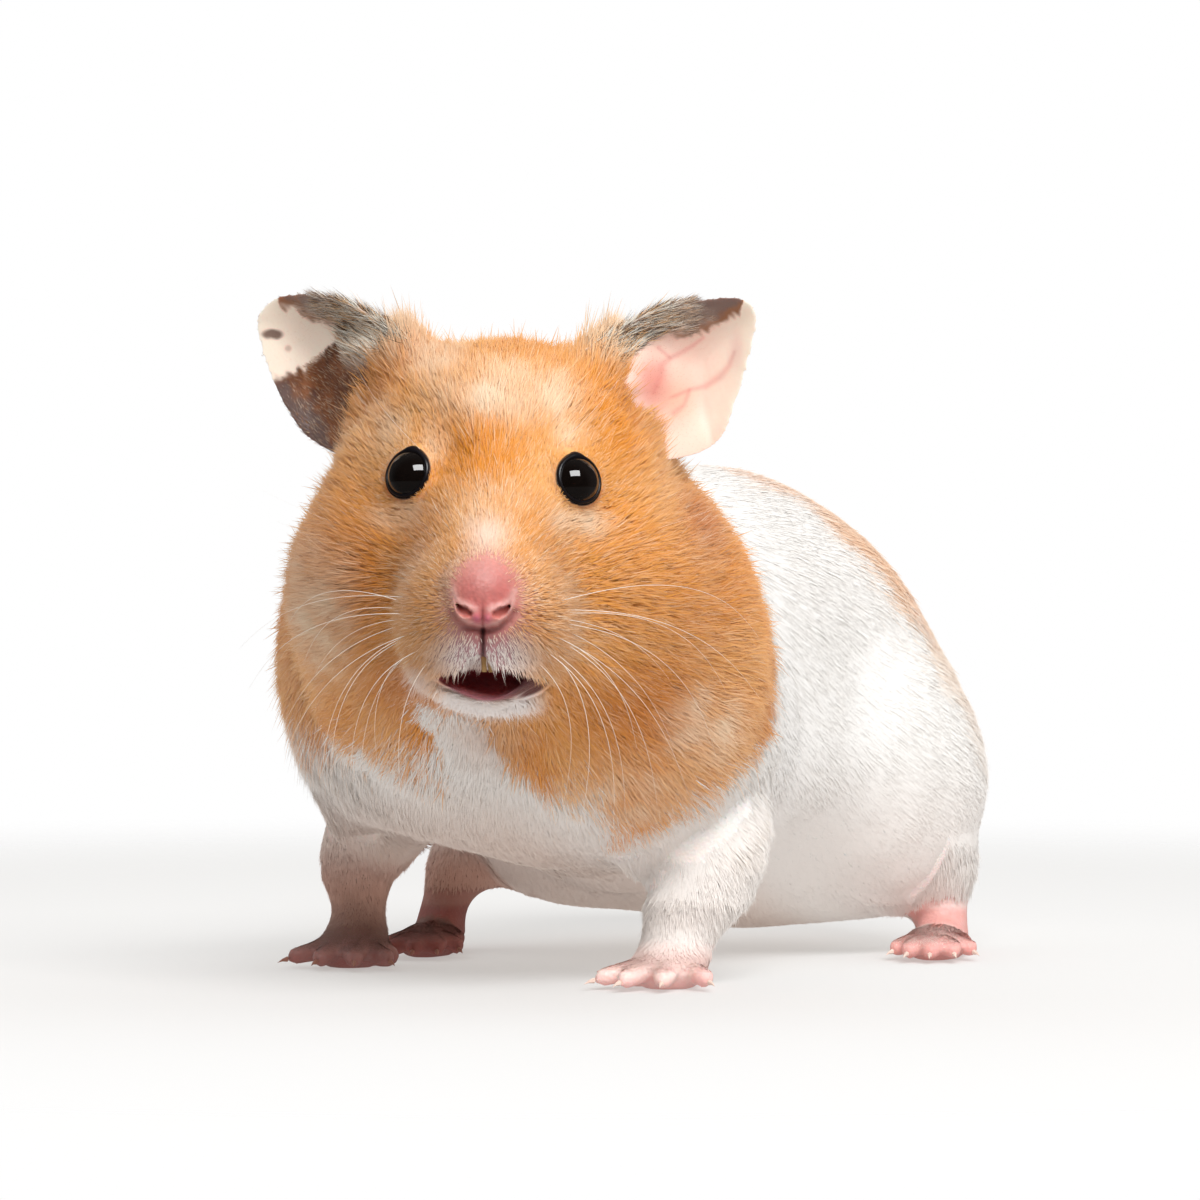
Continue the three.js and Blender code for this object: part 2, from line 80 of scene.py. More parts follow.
def soft(start, end, value):
    t = np.clip((value - start) / (end - start), 0, 1)
    return t * t * (3 - 2 * t)


def bell(away, half):
    """1 at no distance, falling softly past half the width."""
    return np.exp(-((away / half) ** 2))


def around(points, centre, reach, edge=0.5):
    """1 at the centre, falling softly to 0 at the reach along each axis."""
    away = np.sqrt((((points - np.array(centre)) / np.array(reach)) ** 2).sum(1))
    return 1 - soft(1 - edge, 1 + edge * 0.4, away)


def mottle(points, size, seed):
    """Soft uneven patches about `size` mm across, between about -1 and 1."""
    draw = np.random.default_rng(seed)
    total = np.zeros(len(points))
    for _ in range(8):
        wave = draw.normal(size=3)
        wave *= 2 * math.pi / (size * draw.uniform(0.8, 2.0)) / np.linalg.norm(wave)
        total += np.sin(points @ wave + draw.uniform(0, 2 * math.pi))
    return total / 3.2


def from_run(across, up, run):
    """The distance, seen from the front, to a bent line, and how far along it the nearest place lies."""
    best = np.full(len(across), 1e9)
    along = np.zeros(len(across))
    for i, ((x0, z0), (x1, z1)) in enumerate(zip(run, run[1:])):
        t = ((across - x0) * (x1 - x0) + (up - z0) * (z1 - z0)) / ((x1 - x0) ** 2 + (z1 - z0) ** 2)
        t = np.clip(t, 0, 1)
        away = np.hypot(across - x0 - t * (x1 - x0), up - z0 - t * (z1 - z0))
        along = np.where(away < best, i + t, along)
        best = np.minimum(best, away)
    return best, along


def both_sides(head, centre_line=0.0):
    """The places with the animal's right folded over onto its left."""
    return np.column_stack([np.abs(head[:, 0] - centre_line), head[:, 1:]])


def span(runs):
    """The length of each run."""
    return np.linalg.norm(runs, axis=1)


def places(mesh):
    flat = np.empty(len(mesh.vertices) * 3, np.float32)
    mesh.vertices.foreach_get("co", flat)
    return flat.reshape(-1, 3).astype(float) / MM


def put(mesh, points):
    mesh.vertices.foreach_set("co", (points * MM).astype(np.float32).ravel())
    mesh.update()


def facing(mesh):
    flat = np.empty(len(mesh.vertices) * 3, np.float32)
    mesh.vertex_normals.foreach_get("vector", flat)
    return flat.reshape(-1, 3).astype(float)


def links(mesh):
    flat = np.empty(len(mesh.edges) * 2, np.int32)
    mesh.edges.foreach_get("vertices", flat)
    return flat.reshape(-1, 2)


def relaxed(points, edges, rounds, strength):
    """Each point moves towards the middle of its neighbours, by its strength, for some rounds."""
    a, b = edges[:, 0], edges[:, 1]
    size = len(points)
    count = np.maximum(np.bincount(a, minlength=size) + np.bincount(b, minlength=size), 1)[:, None]
    strength = np.broadcast_to(strength, size)[:, None]
    for _ in range(rounds):
        total = np.empty_like(points)
        for k in range(3):
            total[:, k] = np.bincount(a, points[b, k], size) + np.bincount(b, points[a, k], size)
        points = points + strength * (total / count - points)
    return points


def relaxed_here(points, edges, rounds, strength):
    """The same, but worked only where the strength is felt."""
    near = strength > 0.01
    own = edges[near[edges].any(1)]
    used = np.unique(own)
    place = np.zeros(len(points), int)
    place[used] = np.arange(len(used))
    points = points.copy()
    points[used] = relaxed(points[used], place[own], rounds, (strength * near)[used])
    return points


def thing(name, data):
    made = bpy.data.objects.new(name, data)
    bpy.context.scene.collection.objects.link(made)
    return made


def cast(name, built):
    """A mesh from a finished bmesh."""
    mesh = bpy.data.meshes.new(name)
    built.to_mesh(mesh)
    built.free()
    return mesh


def with_modifiers(made):
    """The piece's mesh with its modifiers applied."""
    bpy.context.view_layer.update()
    graph = bpy.context.evaluated_depsgraph_get()
    mesh = bpy.data.meshes.new_from_object(made.evaluated_get(graph))
    made.modifiers.clear()
    made.data = mesh
    return mesh


def joined_solids(names, grow):
    """Copies of CAD nodes in one mesh, each grown a little so that they run into each other."""
    whole = bmesh.new()
    for name in names:
        part = bmesh.new()
        part.from_mesh(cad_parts[name].data)
        bmesh.ops.remove_doubles(part, verts=part.verts, dist=1e-6)
        part.normal_update()
        for vert in part.verts:
            vert.co += vert.normal * grow * MM
        copy = cast(name + "_copy", part)
        whole.from_mesh(copy)
        bpy.data.meshes.remove(copy)
    return cast("joined", whole)


def evenly_meshed(made, cell):
    remesh = made.modifiers.new("even", "REMESH")
    remesh.mode = "VOXEL"
    remesh.voxel_size = cell * MM
    remesh.use_smooth_shade = True
    return with_modifiers(made)


def inside_box(points, node, spare):
    """1 well inside a node's box and 0 outside it, softly over the spare room."""
    low, high = (np.array(corner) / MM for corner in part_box(node))
    beyond = np.maximum(low - points, points - high)
    beyond[:, 2] = points[:, 2] - high[2]
    return 1 - soft(0, spare, beyond.max(1))


LIMBS = [(leg, side) for leg in ("fore", "hind") for side in SIDES]
FEET = {(leg, side): leg + ("paw_" if leg == "fore" else "foot_") + side for leg, side in LIMBS}
FORELEGS = [f"foreleg_{side}" for side in SIDES]
HINDLEGS = [f"hindleg_{side}" for side in SIDES]


def inside_any(points, nodes, spare):
    return np.maximum.reduce([inside_box(points, node, spare) for node in nodes])


def on_foot(points):
    """How far a place belongs to a bare foot."""
    return inside_any(points, FEET.values(), 1.2) * (1 - soft(4.4, 6.4, points[:, 2]))


def on_leg(points):
    """How far a place belongs to a leg or a foot, below the trunk."""
    share = np.maximum(inside_any(points, FORELEGS + HINDLEGS, 2.5), inside_any(points, FEET.values(), 2.0))
    return share * (1 - soft(10, 17, points[:, 2]))


NOSE_TIP = np.array([0.4, -15.5, -12.0])
PAD_MIDDLE = 0.42
EYE_RADIUS = 2.75
# each eyeball's middle, to the animal's left, back and up, and the way its opening faces
EYE_SEATS = np.array([[7.95, -2.1, -0.65], [-7.7, -2.1, -0.46]])
EYE_TURN = np.radians([36.0, -29.5])
EYE_RISE = math.radians(14)
EYE_OPEN = 58  # degrees round the ball from the opening's middle to the lid
GAZES = np.column_stack([
    np.sin(EYE_TURN) * math.cos(EYE_RISE),
    -np.cos(EYE_TURN) * math.cos(EYE_RISE),
    np.full(2, math.sin(EYE_RISE)),
])
LID_FOLD = np.array([[-0.05, -0.25, 0.97], [0.09, -0.25, 0.96]])  # where each upper lid folds


def from_eye(head):
    """The distance outwards from the nearer eyeball."""
    return np.minimum(*(span(head - seat) for seat in EYE_SEATS)) - EYE_RADIUS


def past_lid(head):
    """How far beyond the edge of the nearer eye's opening a place lies, in mm along the ball."""
    nearest = np.full(len(head), 99.0)
    for seat, gaze in zip(EYE_SEATS, GAZES):
        out = head - seat
        gap = span(out)
        turn = np.arccos(np.clip(out @ gaze / gap, -1, 1)) - math.radians(EYE_OPEN)
        nearest = np.minimum(nearest, turn * EYE_RADIUS + np.maximum(gap - EYE_RADIUS - 1.2, 0))
    return nearest


def on_fold(head):
    """1 on the small fold at the top of each lid."""
    share = np.zeros(len(head))
    for seat, fold in zip(EYE_SEATS, LID_FOLD):
        out = head - seat
        gap = span(out)
        turn = np.arccos(np.clip(out @ fold / gap, -1, 1))
        share = np.maximum(share, bell(turn, math.radians(15)) * (gap < EYE_RADIUS + 2.5))
    return share


def from_nose(head):
    return span(head - NOSE_TIP)


MOUTH_MIDDLE, MOUTH_LEVEL = 0.8, -20.0  # to the left and up; the corners of the mouth are at this level
MOUTH_HALF_WIDE, MOUTH_HALF_HIGH, MOUTH_SAG = 5.4, 1.68, 0.6
CORNER_HALF_HIGH = 0.12


def mouth_half(head):
    """How far out towards a mouth corner a place lies, and the crescent's level and half height there."""
    along = (head[:, 0] - MOUTH_MIDDLE) / MOUTH_HALF_WIDE
    full = np.clip(1 - along ** 2, 0, 1)
    return np.abs(along), MOUTH_LEVEL - MOUTH_SAG * full, CORNER_HALF_HIGH + MOUTH_HALF_HIGH * full


def from_mouth(head):
    """The distance from the open mouth's middle, in widths of its opening."""
    out = (head - np.array([0.5, -11.0, -20.3])) / np.array([6.0, 5.0, 2.3])
    return np.sqrt((out ** 2).sum(1))


def wrist(points):
    """1 round the lower part of each foreleg, where the coat is full."""
    return inside_any(points, FORELEGS, 2.0) * soft(1.6, 5.4, points[:, 2]) * soft(12, 7, points[:, 2])


def shin(points):
    """1 on the bare lower part of each hind leg."""
    return inside_any(points, HINDLEGS, 1.2) * soft(8.2, 6.6, points[:, 2])


def coat_depth(points):
    """How deep the coat is over the skin, in mm."""
    head = in_head(points)
    depth = np.interp(from_nose(head), [3.5, 6, 10, 16, 24, 34], [0.0, 0.2, 0.5, 0.95, 1.2, 1.1])
    depth = np.minimum(depth, 0.05 + 0.24 * np.maximum(from_eye(head), 0))
    depth = np.minimum(depth, 0.1 + 0.5 * np.maximum(from_mouth(head) - 0.8, 0))
    depth *= 1 - 0.6 * on_leg(points)
    depth += 1.1 * around(head, [0.0, 6.0, 15.0], [13.0, 14.0, 6.0], 0.7)
    left_ear = around(head, [16.5, 7, 9.5], [6, 9, 6], 0.9)
    right_ear = around(head, [-16.0, 6, 9.0], [6, 9, 6], 0.9)
    depth += 2.8 * left_ear + 2.2 * right_ear
    depth += 0.5 * on_leg(points) * (points[:, 0] < 3) * soft(3, 5, points[:, 2])
    return depth * (1 - on_foot(points)) * (1 - 0.8 * soft(57, 60, points[:, 1]))


skin = thing("skin", joined_solids(FLESH + ["eye_left", "eye_right"], JOIN_GROW))
evenly_meshed(skin, SKIN_CELL)
shape = places(skin.data)
edges = links(skin.data)
head = in_head(shape)
fineness = soft(9, 17, from_nose(head)) * (1 - on_foot(shape) * soft(4.0, 2.8, shape[:, 2]))
pad_edge = around(both_sides(head, 0.5), [9.0, -7.0, -12.5], [3.6, 6.0, 7.0], 0.7)
fineness = np.maximum(fineness, pad_edge * (1 - on_foot(shape)))
fineness *= 0.25 + 0.75 * soft(0.8, 4.0, from_eye(head))
shape = relaxed(shape, edges, 8, 0.12 * (1 - on_foot(shape)) + 0.04 + 0.36 * fineness)
shape = relaxed(shape, edges, 44, 0.01 + 0.5 * fineness)
put(skin.data, shape)
fuller = wrist(shape) * np.where(shape[:, 0] > 3, 0.95, 0.6) - coat_depth(shape) - 0.1 * on_foot(shape)
shape = shape + facing(skin.data) * fuller[:, None]
# the chest is tucked up between the forelegs
CHEST_TUCK = 3.4
tuck = CHEST_TUCK * around(shape[:, :2], [-15, -20], [14, 22], 0.8)
tuck = tuck + 1.8 * around(shape[:, :2], [3, -25], [15, 18], 0.8)
shape[:, 2] += np.minimum(tuck, CHEST_TUCK) * soft(19, 11, shape[:, 2]) * (1 - on_leg(shape))
shape = relaxed(shape, edges, 6, 0.05 + 0.45 * fineness)
# the legs run into the feet without a step
ankle = np.maximum(on_leg(shape), on_foot(shape)) * soft(1.9, 3.4, shape[:, 2]) * soft(10, 7, shape[:, 2])
shape = relaxed_here(shape, edges, 110, 0.5 * ankle)
# the cheeks run into the neck, and the lip pads into the cheeks, without a crease
head = in_head(shape)
creased = soft(-8, -13, head[:, 0]) * soft(8, 13, head[:, 1]) * soft(24, 16, shape[:, 1])
creased = creased * (shape[:, 2] > 16)
shape = relaxed_here(shape, edges, 260, 0.5 * creased)
shape = relaxed_here(shape, edges, 90, 0.5 * pad_edge * (1 - on_foot(shape)))
shape[:, 2] += 1.2 * around(shape, [4, 10, 54], [15, 17, 9], 0.9)  # the nape
put(skin.data, shape)

# The nose, the lips and the lids have finer folds than the rest, so the skin is divided there. The
# lids are drawn in to hug the eyeballs, and the nostrils, lobes and lip groove are pressed in.
def divided(mesh, near):
    """Halves every edge between places that are near. It gives back all the places."""
    fine = bmesh.new()
    fine.from_mesh(mesh)
    cuts = [edge for edge in fine.edges if near[edge.verts[0].index] and near[edge.verts[1].index]]
    bmesh.ops.subdivide_edges(fine, edges=cuts, cuts=1, use_grid_fill=True)
    bmesh.ops.triangulate(fine, faces=[face for face in fine.faces if len(face.verts) > 4])
    fine.to_mesh(mesh)
    fine.free()
    return places(mesh)


head = in_head(shape)
near = (from_nose(head) < 8.5) | (from_eye(head) < 2.4) | (from_mouth(head) < 1.5)
head = in_head(divided(skin.data, near))
shape = divided(skin.data, span(head - [PAD_MIDDLE, -14.6, -13.5]) < 3.5)
head = in_head(shape)
loose = np.maximum(1 - soft(6.0, 8.4, from_nose(head)), 1 - soft(1.4, 2.4, from_eye(head)))
shape = relaxed(shape, links(skin.data), 6, 0.5 * loose)
head = in_head(shape)
LID_THICK = 0.24
for seat, gaze, fold in zip(EYE_SEATS, GAZES, LID_FOLD):
    out = head - seat
    gap = span(out)
    beside = np.degrees(np.arccos(np.clip(out @ gaze / gap, -1, 1))) - EYE_OPEN
    hug = EYE_RADIUS - 0.5 + (0.5 + LID_THICK) * soft(-4, 5, beside)
    free = soft(8, 48, beside)
    drawn = hug * (1 - free) + gap * free + 0.1 * on_fold(head) * soft(-2, 5, beside)
    drawn = np.where((gap < 7.5) & (beside < 50), drawn, gap)
    head = seat + out * (drawn / gap)[:, None]
# the corners of the mouth are drawn up
along, _, _ = mouth_half(head)
lower_lip = around(head, [MOUTH_MIDDLE, -9.5, -21.7], [7.4, 5.0, 2.6], 0.7)
head[:, 2] += 0.8 * soft(0.05, 0.8, along) * lower_lip
shape = from_head(head)
NOSTRIL = [(1.3, -13.8), (1.62, -13.7), (2.1, -13.42), (2.48, -12.98)]  # to the side, up
NOSTRIL_HALF = [0.34, 0.52, 0.46, 0.16]
OVER_RIM = [(0.7, -13.35), (1.0, -13.2), (1.4, -13.02), (2.1, -12.72), (2.7, -12.3), (3.0, -11.5)]
UNDER_RIM = [(0.2, -14.95), (1.4, -14.65), (2.2, -14.0), (2.7, -13.1), (2.95, -12.2)]
WING_CREASE = [(0.1, -15.35), (1.5, -15.1), (2.5, -14.4), (3.0, -13.6)]


def off_centre(head):
    """How far to either side of the nose's middle a place lies."""
    return np.abs(head[:, 0] - PAD_MIDDLE)


def nose_front(head):
    return 1 - soft(-13.2, -11.8, head[:, 1])


def nostrils(head):
    away, along = from_run(off_centre(head), head[:, 2], NOSTRIL)
    half = np.interp(along, range(len(NOSTRIL)), NOSTRIL_HALF)
    return (1 - soft(0.4, 1.4, away / half)) * nose_front(head)


def wing_rims(head):
    """The soft swollen rims over and under each nostril."""
    over, _ = from_run(off_centre(head), head[:, 2], OVER_RIM)
    under, _ = from_run(off_centre(head), head[:, 2], UNDER_RIM)
    return np.maximum(bell(over, 0.34), bell(under, 0.24)) * nose_front(head)


def lobes(head):
    off = ((off_centre(head) - 0.54) / 0.42) ** 2 + ((head[:, 2] + 14.3) / 0.52) ** 2
    return np.exp(-off) * nose_front(head)


def wing_crease(head):
    away, _ = from_run(off_centre(head), head[:, 2], WING_CREASE)
    return bell(away, 0.38) * (1 - soft(-12.8, -11.0, head[:, 1]))


def cleft(head):
    """The fine groove down the middle of the nose, between its lobes."""
    down = soft(-12.6, -13.9, head[:, 2]) * soft(-15.6, -15.1, head[:, 2])
    return bell(head[:, 0] - PAD_MIDDLE, 0.15) * down * nose_front(head)


def philtrum(head):
    down = soft(-14.9, -15.5, head[:, 2]) * soft(-19.6, -18.6, head[:, 2])
    groove = bell(head[:, 0] - PAD_MIDDLE + 0.05, 0.24)
    return groove * down * (1 - soft(-11.5, -9.5, head[:, 1]))


push = 0.5 * nostrils(head) + 0.18 * cleft(head) + 0.5 * philtrum(head) + 0.34 * wing_crease(head)
push -= 0.12 * wing_rims(head) * (1 - nostrils(head)) + 0.36 * lobes(head)
shape = shape + push[:, None] * (np.array([0, 0.96, 0.1]) @ HEAD)
put(skin.data, shape)

# Under the coat the skin lies hidden and smooth, so few faces do there. The face and the bare
# feet keep theirs, and the colours of skin and coat are laid on from the same markings.
head = in_head(shape)
plainness = soft(11, 20, from_nose(head)) * soft(1.6, 3.4, from_eye(head)) * (1 - on_foot(shape))
plain = skin.vertex_groups.new(name="plain")
for step in range(1, 5):
    plain.add(np.nonzero(np.rint(plainness * 4) == step)[0].tolist(), step / 4, "REPLACE")
thin_out = skin.modifiers.new("thin out", "DECIMATE")
thin_out.ratio = 0.34  # of the faces are kept
thin_out.vertex_group = "plain"
with_modifiers(skin)
skin.vertex_groups.clear()


def paint(red, green, blue):
    """A colour as a paint chip gives it, from 0 to 255, made linear for the shaders."""
    chip = np.array([red, green, blue]) / 255
    return np.where(chip <= 0.04045, chip / 12.92, ((chip + 0.055) / 1.055) ** 2.4)


def tinted(base, colour, share):
    return base + (np.asarray(colour) - base) * np.clip(share, 0, 1)[:, None]


WHITE_HAIR = paint(250, 247, 243)
UNDERSIDE_SHADE_WHITE = paint(238, 220, 209)
PINK_SKIN = paint(246, 206, 196)
GOLD_HAIR = paint(243, 179, 106)
DEEP_GOLD = paint(236, 150, 44)
BROWN_GOLD = paint(204, 112, 34)
CREAM_HAIR = paint(254, 226, 194)
TAN_HAIR = paint(240, 196, 146)
RIGHT_LEG_SHADE = paint(216, 166, 146)
HOOD_MIDDLE = np.array([3.0, -18.0])
# the hood's lower edge: its height at each turn round the neck, in degrees from the chest
HOOD_TURN = [-140, -125, -110, -100, -90, -70, -45, -36, -16, -8, 0, 3, 14]
HOOD_TURN += [17, 25, 33, 40, 50, 62, 73, 94, 101, 108, 118, 130]
HOOD_EDGE = [70, 56, 46, 34, 28, 25, 26, 25, 26, 24.5, 25, 30, 30]
HOOD_EDGE += [22, 21.5, 20, 16, 17, 20, 22, 30, 38, 46, 53, 64]


def hood(points):
    """How far in mm a place lies inside the golden hood over head, cheeks and shoulders."""
    turn = np.degrees(np.arctan2(points[:, 0] - HOOD_MIDDLE[0], HOOD_MIDDLE[1] - points[:, 1]))
    turn = turn + 3 * mottle(points, 7, 11)
    return points[:, 2] - np.interp(turn, HOOD_TURN, HOOD_EDGE) - 1.2 * mottle(points, 6, 12)


def saddle(points, stray):
    """The golden patch over the back and rump. It hangs lower on the animal's right."""
    x, y, z = points.T
    slope = np.where(x > 0, 0.62, 0.45)
    front = 16 + slope * (54 - z) + 2.6 * mottle(points, 12, 21) + 1.0 * mottle(points, 4, 22)
    low = np.where(x > 0, 19, 13) + 3.0 * mottle(points, 10, 23)
    return soft(-3.0, 4.0, y - front + 2.0 * stray) * soft(-4, 6, z - low + 2.0 * stray)


def strongest(places_in, spots):
    """The strongest of some soft spots at each place. A spot is its middle, reach, edge and strength."""
    return np.maximum.reduce([strength * around(places_in, *spot) for *spot, strength in spots])


# deeper gold on the forehead, before the ears, at the crown and down the cheeks
DEEP_SPOTS = [
    ([-0.8, -4.0, 1.6], [5.2, 8, 6.6], 0.8, 1),
    ([11.5, 4.0, 7.5], [4.5, 8, 7.5], 0.8, 1),
    ([-10.8, 6.0, 9.8], [3.8, 9, 4.4], 0.8, 1),
    ([4.0, 4.0, 13.0], [8.0, 9, 3.4], 0.9, 0.45),
    ([18.0, 7.0, -12.0], [9, 14, 9], 0.8, 0.6),
    ([16.0, 4.0, -22.0], [9, 13, 7], 0.8, 0.9),
    ([-15.0, 0.0, -12.0], [8, 14, 11], 0.8, 0.7),
]
# brown gold behind the cheeks and under the jaw
DARK_SPOTS = [
    ([15.0, 3.0, -23.0], [8.5, 13, 5.0], 0.9, 0.5),
    ([20.0, 10.0, -4.2], [4.0, 9, 4.6], 0.9, 0.85),
    # these two, on the animal's right side, are partly brown gold and partly painted shade
    ([-13.6, -1.0, -11.0], [5.0, 11, 7.0], 0.9, 0.55),
    ([-9.0, -3.0, -22.0], [7.5, 10, 5.0], 0.9, 0.8),
]
# cream between forehead and crown, over each eye, under it, on the bridge and on the cheeks
PALE_SPOTS = [
    ([1.4, -1.0, 7.4], [7.5, 7, 3.4], 0.9, 1.15),
    ([-6.4, 3.0, 11.6], [3.6, 9, 3.6], 0.9, 0.9),
    ([-5.6, -5.0, 3.6], [2.2, 6, 3.2], 0.8, 0.6),
    ([7.8, -4.0, 4.6], [3.6, 6, 2.2], 0.8, 0.6),
    ([9.2, -5.0, -4.6], [4.2, 6, 2.2], 0.8, 0.75),
    ([-8.9, -4.3, -4.4], [3.6, 6, 2.0], 0.8, 0.6),
    ([-10.9, -0.6, 4.8], [3.0, 8, 3.2], 0.9, 0.5),
    ([0.3, -9.0, -3.6], [4.2, 7, 3.0], 0.9, 0.4),
    ([21.0, 10.0, -25.0], [5.0, 12, 5.0], 0.9, 0.9),
    # partly real cream, partly painted light that brightens the shaded right cheek
    ([-17.4, 2.0, -14.6], [5.4, 11, 9.0], 0.9, 0.95),
]
JAW_TAN_AND_SHADE = paint(204, 158, 130)
BLAZE_ROUND = paint(222, 158, 112)
BLAZE_CREAM = paint(252, 226, 208)
LIP_WHITE = paint(252, 244, 240)
NOSE_FUZZ = paint(238, 196, 176)
EAR_TUFT_CREAM = paint(255, 242, 226)
RIGHT_LEG_DEEP_SHADE = paint(118, 74, 64)


def golden_hair(points):
    head = in_head(points)
    x, _, z = head.T
    gold = tinted(GOLD_HAIR, DEEP_GOLD, 0.28 + 0.3 * mottle(points, 9, 31))
    band = soft(0.0, 0.9, np.sin((x - 0.35 * z) * 0.55 + 0.8 * mottle(points, 9, 32)))
    neck_side = soft(17, 22, np.abs(x)) + soft(-22, -27, z)
    bands = band * np.clip(neck_side, 0, 1) * 0.9
    gold = tinted(gold, DEEP_GOLD, np.maximum(strongest(head, DEEP_SPOTS), bands))
    gold = tinted(gold, BROWN_GOLD, strongest(head, DARK_SPOTS))
    bib = around(points, [18.0, -36.0, 20.5], [9.0, 10, 5.5], 0.9) * 0.6
    pale = np.maximum(strongest(head, PALE_SPOTS), bib) * (0.85 + 0.35 * mottle(points, 3.5, 33))
    by_ears = both_sides(head)
    pale = np.maximum(pale, 0.9 * around(by_ears, [10.3, 8.0, 14.2], [3.3, 9.0, 3.4], 0.8))
    gold = tinted(gold, CREAM_HAIR, pale)
    return tinted(gold, EAR_TUFT_CREAM, 0.7 * around(by_ears, [10.6, 8.0, 15.4], [2.6, 9.0, 2.4], 0.8))


def white_hair(points):
    """White, with painted shade low on the body and on the legs of the animal's right side, and pink over
    the left foot.
    """
    # painted shade: the white is warmer and darker low on the body, most towards the animal's right
    underside = soft(26, 13, points[:, 2]) * (0.25 + 0.75 * soft(14, 4, points[:, 0]))
    white = tinted(WHITE_HAIR, UNDERSIDE_SHADE_WHITE, underside)
    # painted shade on the legs of the animal's right side, deepening towards the feet
    shaded = on_leg(points) * (points[:, 0] < 3) * soft(18, 7, points[:, 2])
    white = tinted(white, tinted(RIGHT_LEG_SHADE, RIGHT_LEG_DEEP_SHADE, soft(9, 2, points[:, 2])), shaded * 0.9)
    pink = on_foot(points) * (points[:, 0] > 3) * soft(5.6, 2.6, points[:, 2])
    return tinted(white, PINK_SKIN, pink * 0.7)


def hair_colour(points, stray=0.0):
    """The colour of the hair that lies over each place. A stray hair shows a place further off."""
    head = in_head(points)
    whole = tinted(white_hair(points), golden_hair(points), soft(-2.0, 2.0, hood(points) + 1.5 * stray))
    # under the jaw and down the throat the hair is tan: partly golden hair mixed in, partly painted shade
    whole = tinted(whole, JAW_TAN_AND_SHADE, around(head, [-0.5, -3.0, -27.5], [7.0, 10, 4.5], 0.9) * 0.85)
    # the pale blaze above the nose, the white lips and chin, and pale hair beside the mouth
    whole = tinted(whole, BLAZE_ROUND, around(head, [0.5, -11.5, -14.0], [9.0, 8, 7.5], 0.9) * 0.75)
    whole = tinted(whole, BLAZE_CREAM, around(head, [0.4, -12.0, -6.4], [2.6, 6, 2.6], 0.9) * 0.85)
    whole = tinted(whole, LIP_WHITE, strongest(head, [
        ([0.6, -8.0, -22.6], [6.8, 9, 2.5], 0.4, 1),
        ([0.5, -13.0, -18.2], [5.8, 7, 3.4], 0.7, 0.95),
        ([-6.5, -8.0, -20.6], [3.0, 7, 2.0], 0.8, 0.6),
    ]))
    whole = tinted(whole, NOSE_FUZZ, around(head, [PAD_MIDDLE, -14, -11.6], [4.6, 6, 4.6], 0.6) * 0.85)
    warm = tinted(TAN_HAIR, GOLD_HAIR, soft(30, 46, points[:, 2]))
    warm = tinted(warm, DEEP_GOLD, 0.35 * soft(0, 1, mottle(points, 9, 24)))
    fullest = 0.14 * around(points, [18.7, 26.0, 43.5], [10.0, 13.0, 9.0], 0.9)
    share = saddle(points, stray) * (0.16 + 0.38 * soft(20, 42, points[:, 2]) + fullest)
    return tinted(whole, warm, share * (points[:, 1] > 5))


DEEP_PINK = paint(228, 128, 126)
NOSE_PINK = paint(204, 116, 110)
NOSE_SIDE_SHADE = paint(196, 104, 98)
NOSE_HIGHLIGHT = paint(212, 150, 142)
NOSE_RIM_HIGHLIGHT = paint(240, 192, 184)
LOBE_PINK = paint(202, 92, 120)
NOSTRIL_SHADOW = paint(112, 40, 34)
NOSTRIL_RED = paint(196, 108, 98)
WING_CREASE_SHADOW = paint(140, 84, 80)
CLEFT_SHADE = paint(140, 70, 74)
PHILTRUM_SHADE = paint(74, 38, 38)
MUZZLE_MAUVE = paint(176, 126, 118)
LIP_MAUVE = paint(184, 138, 142)
CHIN_SKIN = paint(232, 216, 208)
CORNER_CREASE_SHADE = paint(96, 60, 60)
MOUTH_SHADE_RED = paint(150, 56, 60)
MOUTH_MAUVE = paint(240, 150, 152)
LIP_INSIDE = paint(164, 106, 112)
LID_BLACK = paint(20, 17, 20)
TOE_PINK = paint(254, 224, 216)
HIND_PINK = paint(224, 152, 144)
SHIN_PINK = paint(196, 126, 120)
RIGHT_FOOT_SHADE = paint(128, 58, 48)


def mouth_inside(head):
    """1 in the crescent of the open mouth and in the hollow behind it."""
    along, level, half = mouth_half(head)
    opening = soft(0.22, -0.22, np.abs(head[:, 2] - level) - half) * (along < 1.02) * (head[:, 1] < -3)
    return np.maximum(opening, around(head, [0.5, -5.9, -20.2], [6.2, 3.5, 2.3], 0.1))


def nose_colour(points, head):
    # painted highlight: the top and the middle of the pad are paler, where light catches them
    pad = tinted(NOSE_PINK, NOSE_HIGHLIGHT, around(head, [0.4, -14, -8.8], [3.2, 4, 2.6], 0.9) * 0.6)
    pad = tinted(pad, NOSE_HIGHLIGHT, around(head, [0.5, -15, -10.6], [1.5, 4, 2.0], 0.9) * 0.55)
    # the sides of the pad are darker and redder: partly their own red, partly painted shade
    pad = tinted(pad, NOSE_SIDE_SHADE, soft(1.4, 2.8, off_centre(head)) * 0.35)
    pad = tinted(pad, LOBE_PINK, lobes(head))
    # a painted highlight on the swollen rims over and under the nostrils
    pad = tinted(pad, NOSE_RIM_HIGHLIGHT, wing_rims(head) * (1 - 0.7 * lobes(head)) * 0.55)
    return pad * (1 + 0.06 * mottle(points, 0.5, 42))[:, None]


